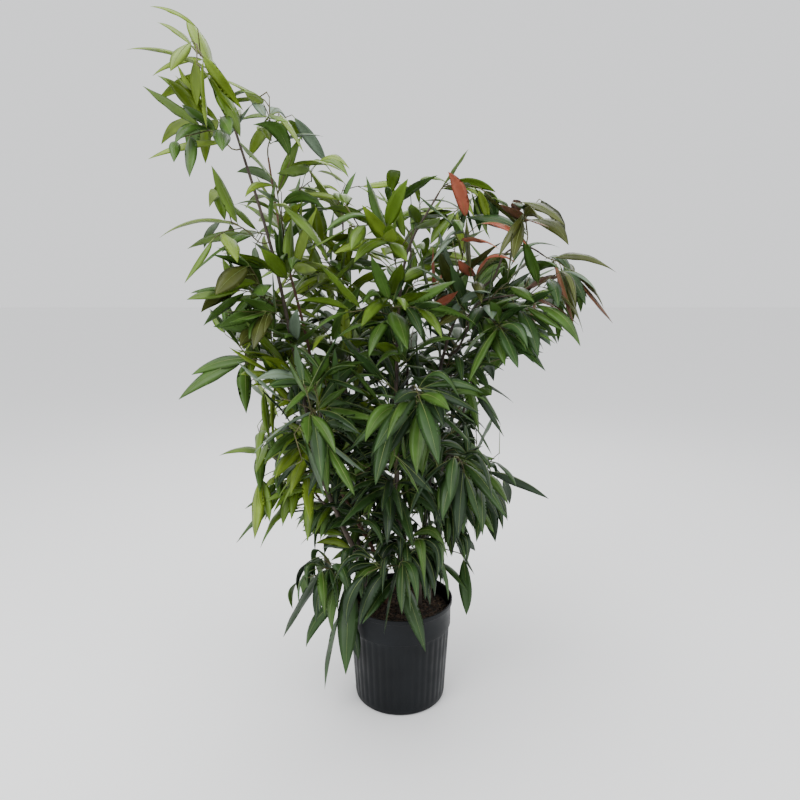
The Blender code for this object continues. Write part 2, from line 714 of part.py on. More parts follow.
class Crown:
    """All twigs and leaves, each set down only where it touches nothing."""

    def __init__(self, limbs, others):
        self.limbs = limbs
        self.cells = {}
        self.masses = {}
        for obj in [limb["object"] for limb in limbs.values()] + others:
            self.take_space({"tree": tree_of_object(obj)}, [v.co for v in obj.data.vertices])

    def take_space(self, piece, points):
        for cell in cells_of(points):
            self.cells.setdefault(cell, []).append(piece)

    def is_free(self, solid, host=None):
        """Whether a solid touches nothing but its host."""
        tree = tree_of(solid)
        for cell in cells_of(solid[0]):
            for piece in self.cells.get(cell, ()):
                if piece is not host and tree.overlap(piece["tree"]):
                    return False
        return True

    def keep(self, mass, solid, path=None):
        piece = {"tree": tree_of(solid), "solid": solid, "path": path}
        self.take_space(piece, solid[0])
        mass["pieces"].append(piece)
        return piece

    def start_mass(self, name, row):
        """Sets out a mass and its leader, which bows up on its way from the limb."""
        parent, share, end, tips, count, leaf_length, hang, spread = row
        end = Vector(end)
        start, heading = start_on(self.limbs[parent], share, end)
        first = start + heading * FIRST_RUN
        half_way = (first + end) / 2 + UP * LEADER_ARCH * (end - first).length
        steps = 1 + int((end - first).length / LEADER_STEP)
        path = [start] + smooth_path([first, half_way, end], heading, steps)
        mass = {
            "name": name,
            "random": random.Random(name),
            "tips": [Vector(tip) for tip in tips],
            "count": count,
            "leaf": leaf_length,
            "hang": hang,
            "spread": spread,
            "line": [place_on(path, k / (LINE_POINTS - 1))[0] for k in range(LINE_POINTS)],
            "pieces": [],
            "leaves": [],
        }
        mass["leader"] = self.keep(mass, twig_solid(path, taper(path, LEADER_RADIUS)), path)
        mass["hosts"] = [mass["leader"]]
        self.masses[name] = mass

    def add_twig(self, mass, host, share, direction, length):
        """A side twig that bends down a little towards its end, or nothing where it would touch."""
        root, _ = place_on(host["path"], share)
        middle = root + direction * length / 2
        end = middle + (direction - UP * TWIG_BEND).normalized() * length / 2
        path = [root - direction * TWIG_SINK, middle, end]
        if not self.is_free(twig_solid(path, taper(path, TWIG_RADIUS + TOUCH_GAP)), host):
            return None
        twig = self.keep(mass, twig_solid(path, taper(path, TWIG_RADIUS)), path)
        mass["hosts"].append(twig)
        return twig

    def add_leaf(self, mass, host, leaf):
        lowest = min(leaf["middle"].z, leaf["tip"].z)
        if lowest < LOWEST_LEAF or not self.is_free(leaf_solid(leaf, TOUCH_GAP), host):
            return False
        self.keep(mass, leaf_solid(leaf))
        mass["leaves"].append(leaf)
        return True

    def reach_tips(self, mass):
        """The outermost leaves, each from the leader, or from a twig towards it, to its own tip."""
        rng = mass["random"]
        for tip in mass["tips"]:
            for attempt in range(TRIES):
                wanted = mass["leaf"] * (TIP_REACH - TIP_REACH_STEP * attempt)
                tip = tip + Vector([rng.uniform(-1, 1) for _ in range(3)]) * TIP_SHIFT * attempt
                host = mass["leader"]
                share = self.nearest_share(host["path"], tip, wanted, attempt)
                root, _ = place_on(host["path"], share)
                if (tip - root).length > TIP_TWIG_FROM * mass["leaf"]:
                    direction = ((tip - root).normalized() + UP * TIP_TWIG_RISE).normalized()
                    host = self.add_twig(mass, host, share, direction, (tip - root).length - wanted)
                    if not host:
                        continue
                    root, _ = place_on(host["path"], END_LEAF_AT)
                if self.add_leaf(mass, host, tip_leaf(root, tip, rng)):
                    break

    @staticmethod
    def nearest_share(path, tip, wanted, attempt):
        """The place on a leader whose distance to the tip is nearest to a leaf's length."""
        places = 4 * LINE_POINTS
        shares = [BARE_LEADER + (1 - BARE_LEADER) * k / places for k in range(places)]
        shares.sort(key=lambda s: abs((place_on(path, s)[0] - tip).length - wanted))
        return shares[attempt]

    def inside(self, mass, point):
        """Whether a point is near the mass's leader, and no other leader is much nearer to it."""
        own = min((point - p).length for p in mass["line"])
        if own > mass["spread"]:
            return False
        for other in self.masses.values():
            if other is not mass and min((point - p).length for p in other["line"]) < own - TRESPASS:
                return False
        return True

    def fits(self, mass, leaf):
        """Whether a leaf keeps to its mass's space and to the crown."""
        middle, tip = leaf["middle"], leaf["tip"]
        return in_crown(tip) and self.inside(mass, middle) and self.inside(mass, (middle + tip) / 2)

    def fill(self, mass):
        """Side twigs by the golden angle, then leaves from the twigs' ends back towards the leader."""
        rng = mass["random"]
        leader = mass["leader"]
        turn = rng.uniform(0, math.tau)
        twig_count = 1 + mass["count"] // LEAVES_PER_TWIG
        for k in range(twig_count):
            share = FIRST_TWIG + TWIG_RUN * (k + 0.5) / twig_count
            _, tangent = place_on(leader["path"], share)
            for _ in range(TRIES):
                turn += GOLDEN_ANGLE
                out = turned(tangent, turn)
                direction = (tangent * TWIG_FORWARD + out * TWIG_OUTWARD + UP * TWIG_RISE).normalized()
                length = mass["spread"] * rng.uniform(SHORTEST_TWIG, LONGEST_TWIG)
                if self.add_twig(mass, leader, share, direction, length):
                    break
        places = []
        for row in range(LEAF_ROWS):
            for host in mass["hosts"]:
                share = END_LEAF_AT - row * LEAF_SPACING / lengths_along(host["path"])[-1]
                if share > (BARE_LEADER if host is leader else BARE_TWIG):
                    places.append((host, share, END_OPENING if row == 0 else SIDE_OPENING))
        for host, share, opening in places:
            if len(mass["leaves"]) >= mass["count"]:
                break
            root, tangent = place_on(host["path"], share)
            for attempt in range(TRIES):
                turn += GOLDEN_ANGLE
                heading = tangent * math.cos(opening) + turned(tangent, turn) * math.sin(opening)
                leaf = hanging_leaf(root, heading, mass, rng, 1 - RETRY_SHRINK * attempt)
                if self.fits(mass, leaf) and self.add_leaf(mass, host, leaf):
                    break


def turned(direction, angle):
    """A direction square to the given one, at an angle round it."""
    return Matrix.Rotation(angle, 3, direction) @ across(direction)


def taper(path, radius):
    last = len(path) - 1
    return [radius * (1 + (TWIG_TAPER - 1) * i / last) for i in range(len(path))]


def hanging_leaf(root, heading, mass, rng, scale):
    """A leaf that sets out along heading and bends down under its own weight."""
    length = mass["leaf"] * scale * rng.uniform(SMALLEST_LEAF, LARGEST_LEAF)
    hang = mass["hang"] + rng.uniform(-HANG_VARIETY, HANG_VARIETY)
    hang = min(max(hang, LEAST_HANG), MOST_HANG)
    first = (heading - UP * FIRST_HANG * hang).normalized()
    then = (heading * (1 - hang) - UP * hang).normalized()
    middle = root + first * length * WIDEST_AT
    tip = middle + then * length * (1 - WIDEST_AT)
    return leaf_shape(root - first * LEAF_SINK, middle, tip, rng.uniform(-LEAF_ROLL, LEAF_ROLL))


def tip_leaf(root, tip, rng):
    """A leaf from its root to a given tip, bowed up the more the more level it lies."""
    chord = tip - root
    level = 1 - abs(chord.normalized().z)
    bow = (STEEP_BOW + LEVEL_BOW * level) * rng.uniform(LEAST_BOW, MOST_BOW)
    middle = root + chord * WIDEST_AT + UP * bow * chord.length
    base = root - (middle - root).normalized() * LEAF_SINK
    return leaf_shape(base, middle, tip, rng.uniform(-TIP_ROLL, TIP_ROLL))


def islands(work):
    """The separate closed bodies of a mesh, each a list of its faces."""
    left = set(work.faces)
    found = []
    while left:
        stack = [left.pop()]
        body = []
        while stack:
            face = stack.pop()
            body.append(face)
            for edge in face.edges:
                for other in edge.link_faces:
                    if other in left:
                        left.remove(other)
                        stack.append(other)
        found.append(body)
    return found


def keep_outer_body(mesh):
    """Leaves the largest body, so that a sealed hollow is filled and a loose scrap goes."""
    work = bmesh.new()
    work.from_mesh(mesh)
    bodies = sorted(islands(work), key=len)
    for body in bodies[:-1]:
        bmesh.ops.delete(work, geom=body, context="FACES")
    loose = [v for v in work.verts if not v.link_faces]
    bmesh.ops.delete(work, geom=loose, context="VERTS")
    work.to_mesh(mesh)
    work.free()


def is_closed(mesh):
    work = bmesh.new()
    work.from_mesh(mesh)
    closed = len(work.faces) > 0 and all(edge.is_manifold for edge in work.edges)
    work.free()
    return closed


def union(name, pieces, material, collection, helpers):
    """Joins a leader with its twigs and leaves by one Boolean union on a collection of them."""
    base = mesh_object(name, pieces[0]["solid"], material, collection)
    for i, piece in enumerate(pieces[1:]):
        mesh_object(f"{name}_piece_{i}", piece["solid"], material, helpers)
    whole = base.data.copy()
    for solver in ("EXACT", "MANIFOLD"):
        base.data = whole.copy()
        modifier = base.modifiers.new("join", "BOOLEAN")
        modifier.operation = "UNION"
        modifier.operand_type = "COLLECTION"
        modifier.collection = helpers
        modifier.solver = solver
        graph = bpy.context.evaluated_depsgraph_get()
        mesh = bpy.data.meshes.new_from_object(base.evaluated_get(graph))
        base.modifiers.clear()
        keep_outer_body(mesh)
        if is_closed(mesh):
            break
    mesh.name = name
    mesh.materials.clear()
    mesh.materials.append(material)
    base.data = mesh
    for obj in list(helpers.objects):
        bpy.data.objects.remove(obj, do_unlink=True)
    return base


def grow_crown(limbs, others):
    crown = Crown(limbs, others)
    for name, row in MASSES.items():
        crown.start_mass(name, row)
    for mass in crown.masses.values():
        crown.reach_tips(mass)
    for mass in crown.masses.values():
        crown.fill(mass)
    return crown


def main():
    clear_scene()
    plant = new_collection("potted_amstel_king_ficus")
    helpers = new_collection("helpers", hidden=True)
    plastic = new_material("pot_plastic", (0.012, 0.014, 0.017), 0.42)
    earth = new_material("soil", (0.02, 0.014, 0.009), 0.95)
    bark = new_material("bark", (0.05, 0.03, 0.02), 0.8)
    green = new_material("leaf", (0.035, 0.11, 0.012), 0.45)

    pot = make_pot(plastic, plant)
    soil = make_soil(earth, plant)
    limbs = make_limbs(bark, plant)
    crown = grow_crown(limbs, [pot, soil])
    for name, mass in crown.masses.items():
        union(name, mass["pieces"], green, plant, helpers)
    bpy.data.collections.remove(helpers)


main()
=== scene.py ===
"""The looks of a potted amstel king ficus: blades, twigs and bark grown by the same rule as its solids."""

import itertools
import json
import math
import random

import bmesh
import bpy
from mathutils import Matrix, Vector, noise
from mathutils.bvhtree import BVHTree
from mathutils.geometry import interpolate_bezier

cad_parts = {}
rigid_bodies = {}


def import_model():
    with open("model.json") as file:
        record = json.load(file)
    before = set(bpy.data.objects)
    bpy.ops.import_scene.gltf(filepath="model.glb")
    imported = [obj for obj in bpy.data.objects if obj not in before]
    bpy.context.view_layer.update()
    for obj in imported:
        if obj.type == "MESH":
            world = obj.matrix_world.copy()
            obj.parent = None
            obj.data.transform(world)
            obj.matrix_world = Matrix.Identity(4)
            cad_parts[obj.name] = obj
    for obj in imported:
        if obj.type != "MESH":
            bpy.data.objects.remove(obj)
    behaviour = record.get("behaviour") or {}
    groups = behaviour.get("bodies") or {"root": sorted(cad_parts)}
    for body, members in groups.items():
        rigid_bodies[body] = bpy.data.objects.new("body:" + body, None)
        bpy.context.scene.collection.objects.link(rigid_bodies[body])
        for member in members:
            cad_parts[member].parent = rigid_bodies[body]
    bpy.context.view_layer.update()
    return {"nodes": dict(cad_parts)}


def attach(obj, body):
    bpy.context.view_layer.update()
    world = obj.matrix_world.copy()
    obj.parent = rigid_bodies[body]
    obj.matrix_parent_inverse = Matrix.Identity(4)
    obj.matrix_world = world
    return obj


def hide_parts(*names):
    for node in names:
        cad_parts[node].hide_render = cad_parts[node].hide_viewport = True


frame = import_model()

# Camera and light
CAMERA_PLACE = (0, -2.239, 1.5)
CAMERA_DOWN = 11.4
CAMERA_LENS = 31.5
CAMERA_SENSOR = 36

# Pot, as in the solids
POT_HEIGHT = 0.36
POT_FOOT_RADIUS = 0.155
POT_BAND_RADIUS = 0.171
POT_COLLAR_RADIUS = 0.1755
POT_LIP_RADIUS = 0.18
POT_LIP_HEIGHT = 0.016
POT_COLLAR_HEIGHT = 0.268
POT_WALL = 0.003
POT_FLOOR = 0.008
POT_FOOT_ROUNDING = 0.012
RIB_COUNT = 42
RIB_DEPTH = 0.0016
RIB_BOTTOM = 0.030
RIB_TOP = 0.260
RIB_RUN_OUT = 0.008
COLUMNS_PER_RIB = 8

# Soil
SOIL_TOP = 0.315
SOIL_RADIUS = 0.1675
SOIL_ROUGHNESS = 0.004
CHIP_COUNT = 900
GAP = 0.0003

# Blades
BLADE_ROWS = 15
BLADE_WIDTH = 0.235
BLADE_START = 0.07
BLADE_THICKNESS = 0.0005
PETIOLE_RADIUS = 0.0014
MIDRIB_END_RADIUS = 0.0003

# Growth finer than the solids'
EXTRA_LEAVES = 20
SPRAY_LEAVES = 7
EXTRA_TRIES = 20
CORE_SHARE = 0.4
EDGE_CLEAR = 0.06
EDGE_STEPS = [Vector(step) * EDGE_CLEAR for step in ((1, 0, 0), (-1, 0, 0), (0, 1, 0), (0, -1, 0))]
LARGEST_PIECE = 90000
FIRST_EXTRA = 0.15
FINE_TWIGS = 6
SHOOTS_FROM = 0.16
SHOOTS_TO = 1.45
SHOOT_STEP = 0.05
SHORTEST_SHOOT = 0.05
LONGEST_SHOOT = 0.15
SHOOT_BEND = 0.008
TWIG_ROOT = 0.0015
ROOT_NEAR = 0.002
LEAST_GROWN = 0.06
SHOOT_LEAVES = 4
SHOOT_SPREAD = 0.12
SPRAYS = (
    "leaves_tall_tip",
    "leaves_tall_upper",
    "leaves_tall_left",
    "leaves_tall_right",
    "leaves_tall_inner",
    "leaves_tall_back",
    "leaves_left_crown",
    "leaves_left_upper",
    "leaves_left_low",
    "leaves_arch_top",
    "leaves_arch_tip",
    "leaves_arch_under",
    "leaves_red",
    "leaves_right_low",
    "leaves_right_mid",
    "leaves_front_right",
    "leaves_back_left_top",
    "leaves_back_right_mid",
)

# Bark
RING_STEP = 0.006
STEM_SIDES = 16
NODE_STEP = 0.042
NODE_SWELL = 0.10
BARK_SIDES_TWIG = 6

# Colours of the blades, as the light of the scene needs them. Some carry painted light:
# pale is a painted sheen, the grey reflection of the sky on waxy leaves; deep and dark also serve as painted
# shade inside and under the crown; light and fresh are partly the leaves' own yellow-green and partly painted
# light on the crown's top.
TONES = {
    "deep": (0.012, 0.030, 0.009),
    "dark": (0.024, 0.058, 0.013),
    "mid": (0.048, 0.104, 0.015),
    "fresh": (0.092, 0.162, 0.016),
    "light": (0.145, 0.220, 0.020),
    # Painted sheen: a grey-green that stands in for the sky's reflection on glossy leaves.
    "pale": (0.125, 0.175, 0.120),
    "olive": (0.056, 0.066, 0.012),
    "russet": (0.135, 0.060, 0.030),
    "red": (0.330, 0.090, 0.050),
}

# Blades broader than the rest
BREADTHS = {"leaves_tall_low": 1.7, "leaves_tall_tip": 1.15, "leaves_tall_upper": 1.15}

# Which tones each mass deals out to its leaves; the rest go by height.
# Pale deals out painted sheen. The dark and deep tones of the masses low by the pot are painted shade under the
# crown;
# the light and fresh tones of the top masses are partly their own yellow-green and partly painted light from
# above.
PALETTES = {
    "leaves_tall_tip": "light light fresh",
    "leaves_tall_upper": "light fresh light mid",
    "leaves_tall_left": "fresh light mid",
    "leaves_tall_right": "light fresh light pale",
    "leaves_tall_inner": "light fresh light mid",
    "leaves_tall_back": "light fresh mid light",
    "leaves_tall_low": "mid pale fresh mid olive mid",
    "leaves_left_crown": "light fresh light mid",
    "leaves_left_upper": "light fresh light mid",
    "leaves_left_mid": "light fresh light mid",
    "leaves_left_inner": "fresh light mid fresh",
    "leaves_left_lower": "fresh mid light dark pale mid",
    "leaves_left_low": "light fresh mid fresh",
    "leaves_back_left_top": "fresh light mid fresh",
    "leaves_back_left_mid": "fresh mid mid dark",
    "leaves_back_top": "fresh light mid fresh",
    "leaves_centre_top": "mid fresh light dark",
    "leaves_centre_upper": "fresh light mid fresh",
    "leaves_centre_front": "mid dark fresh mid",
    "leaves_front": "dark mid dark mid deep",
    "leaves_pot_left": "dark mid deep dark",
    "leaves_red": "red mid pale dark red olive",
    "leaves_arch_top": "olive olive russet dark",
    "leaves_arch_tip": "olive russet mid olive dark russet",
    "leaves_arch_under": "mid dark pale olive mid russet",
    "leaves_arch_low": "mid dark mid dark pale",
}
# The rest by height: painted light and shade, with tones darkening from the crown's top down into its shade, and
# pale as painted sheen.
PALETTE_HIGH = "mid fresh mid dark"
PALETTE_MIDDLE = "mid dark dark mid deep dark mid pale"
PALETTE_LOW_SHADE = "deep dark deep dark deep"
# Painted shade: dark tones for the leaves of the shoots inside the crown, below INNER_TO and right of INNER_FROM.
PALETTE_INNER_SHADE = "dark deep dark mid"
INNER_TO = 1.2
INNER_FROM = -0.18
HIGH_FROM = 1.35
LOW_TO = 0.95

# Limbs
FIRST_RUN = 0.01
OUTSIDE = 0.1
FLARE_LENGTH = 0.025
STEM_FLARE = 0.006
STEM_STEPS = 3
BOUGH_STEPS = 2
STEM_BEVEL_STEPS = 2
BOUGH_BEVEL_STEPS = 1

# Each stem: its foot on the soil, the way points of its axis, its radius above the foot and at the tip.
STEMS = {
    "stem_tall": (
        (-0.10, -0.03),
        ((-0.25, -0.05, 0.79), (-0.32, -0.07, 1.16), (-0.39, -0.08, 1.54), (-0.51, -0.10, 1.98)),
        0.0095,
        0.0032,
    ),
    "stem_russet": (
        (-0.045, 0.035),
        ((-0.23, 0.04, 0.80), (-0.30, 0.03, 1.23), (-0.37, 0.01, 1.56), (-0.40, -0.01, 1.80)),
        0.0075,
        0.003,
    ),
    "stem_left": (
        (-0.13, 0.05),
        ((-0.17, 0.10, 0.74), (-0.19, 0.14, 1.16), (-0.19, 0.16, 1.62)),
        0.007,
        0.003,
    ),
    "stem_centre": (
        (0.005, -0.035),
        ((-0.01, -0.03, 0.82), (-0.01, -0.03, 1.18), (0.02, -0.01, 1.51), (0.12, 0.02, 1.70)),
        0.0105,
        0.003,
    ),
    "stem_right": (
        (0.065, 0.02),
        ((0.10, 0.04, 0.76), (0.12, 0.03, 1.08), (0.19, 0.01, 1.34), (0.28, -0.02, 1.43)),
        0.009,
        0.0038,
    ),
    "stem_back_left": (
        (-0.06, 0.10),
        ((-0.12, 0.20, 0.78), (-0.18, 0.28, 1.14), (-0.24, 0.34, 1.45)),
        0.0075,
        0.003,
    ),
    "stem_back": (
        (0.015, 0.095),
        ((0.02, 0.20, 0.80), (0.03, 0.28, 1.20), (0.04, 0.36, 1.56)),
        0.0085,
        0.003,
    ),
    "stem_back_right": (
        (0.105, 0.07),
        ((0.17, 0.15, 0.72), (0.24, 0.21, 1.02), (0.32, 0.26, 1.32)),
        0.0075,
        0.003,
    ),
}

# Each bough: the limb it leaves and where along it, its way points, its radius at the foot and at the tip.
BOUGHS = {
    "bough_arch": (
        "stem_right", 1.0, ((0.32, -0.03, 1.51), (0.38, -0.04, 1.54), (0.44, -0.05, 1.51)), 0.0036, 0.0025,
    ),
    "bough_arch_low": ("stem_right", 0.76, ((0.24, -0.04, 1.36), (0.35, -0.06, 1.39)), 0.0042, 0.0025),
    "bough_left_mid": ("stem_tall", 0.46, ((-0.38, -0.08, 1.17), (-0.44, -0.07, 1.19)), 0.0042, 0.0025),
    "bough_left_low": ("stem_tall", 0.24, ((-0.33, -0.02, 0.82), (-0.40, -0.01, 0.85)), 0.0042, 0.0025),
    "bough_right_mid": ("stem_right", 0.56, ((0.15, 0.01, 1.12), (0.18, 0.00, 1.13)), 0.0042, 0.0025),
    "bough_right_low": ("stem_right", 0.30, ((0.17, 0.04, 0.78), (0.23, 0.03, 0.80)), 0.0042, 0.0025),
    "bough_front_left": ("stem_tall", 0.36, ((-0.24, -0.18, 1.04), (-0.23, -0.27, 1.07)), 0.0042, 0.0025),
    "bough_front": ("stem_centre", 0.46, ((0.03, -0.15, 1.10), (0.04, -0.25, 1.14)), 0.0042, 0.0025),
    "bough_front_right": ("stem_right", 0.36, ((0.15, -0.08, 0.88), (0.18, -0.18, 0.90)), 0.0042, 0.0025),
    "bough_back_left": ("stem_back_left", 0.34, ((-0.22, 0.24, 0.88), (-0.29, 0.25, 0.92)), 0.0042, 0.0025),
    "bough_back_right": ("stem_back_right", 0.30, ((0.22, 0.22, 0.70), (0.26, 0.28, 0.74)), 0.0042, 0.0025),
}

# Twigs
GOLDEN_ANGLE = math.radians(137.5)
LEADER_RADIUS = 0.0032
TWIG_RADIUS = 0.0026
TWIG_TAPER = 0.65
LEADER_ARCH = 0.08
LEADER_STEP = 0.2
LEAVES_PER_TWIG = 5
FIRST_TWIG = 0.28
TWIG_RUN = 0.62
TWIG_FORWARD = 0.55
TWIG_OUTWARD = 0.8
TWIG_RISE = 0.15
TWIG_BEND = 0.25
SHORTEST_TWIG = 0.45
LONGEST_TWIG = 0.7
TWIG_SINK = 0.0004
TOUCH_GAP = 0.001

# Leaves, whose measures are shares of their length
LEAF_WIDTH = 0.25
LEAF_THICKNESS = 0.0105
WIDEST_AT = 0.44
LEAF_SINK = 0.0003
LEAF_SPACING = 0.045
LEAF_ROWS = 8
END_LEAF_AT = 0.97
BARE_LEADER = 0.3
BARE_TWIG = 0.2
END_OPENING = math.radians(20)
SIDE_OPENING = math.radians(52)
SMALLEST_LEAF = 0.82
LARGEST_LEAF = 1.12
HANG_VARIETY = 0.2
LEAST_HANG = 0.05
MOST_HANG = 0.95
FIRST_HANG = 0.4
LEAF_ROLL = 0.85
LOWEST_LEAF = 0.006

# The outermost leaves, which reach stated tips
TIP_REACH = 1.1
TIP_REACH_STEP = 0.06
TIP_TWIG_FROM = 1.35
TIP_TWIG_RISE = 0.3
STEEP_BOW = 0.04
LEVEL_BOW = 0.1
LEAST_BOW = 0.7
MOST_BOW = 1.3
TIP_ROLL = 0.7
TIP_SHIFT = 0.006

# The rule's limits
TRESPASS = 0.05
TRIES = 10
RETRY_SHRINK = 0.04
LINE_POINTS = 9
GRID_CELL = 0.08

# The crown's reach at each height: to the left, to the right, and to the front and back.
# Only the stated leaf tips stand out further.
CROWN_REACH = (
    (0.00, -0.30, 0.20, 0.26),
    (0.30, -0.38, 0.22, 0.30),
    (0.50, -0.44, 0.26, 0.36),
    (0.62, -0.54, 0.42, 0.44),
    (0.78, -0.54, 0.44, 0.50),
    (0.88, -0.51, 0.35, 0.54),
    (1.02, -0.49, 0.33, 0.56),
    (1.15, -0.52, 0.36, 0.56),
    (1.24, -0.60, 0.54, 0.54),
    (1.40, -0.68, 0.66, 0.52),
    (1.54, -0.68, 0.62, 0.50),
    (1.66, -0.62, 0.48, 0.46),
    (1.74, -0.70, 0.20, 0.42),
    (1.79, -0.72, -0.10, 0.38),
    (1.85, -0.74, -0.27, 0.34),
    (1.94, -0.74, -0.27, 0.30),
    (2.05, -0.76, -0.44, 0.26),
    (2.19, -0.72, -0.54, 0.20),
)
CROWN_ROUNDNESS = 2.6

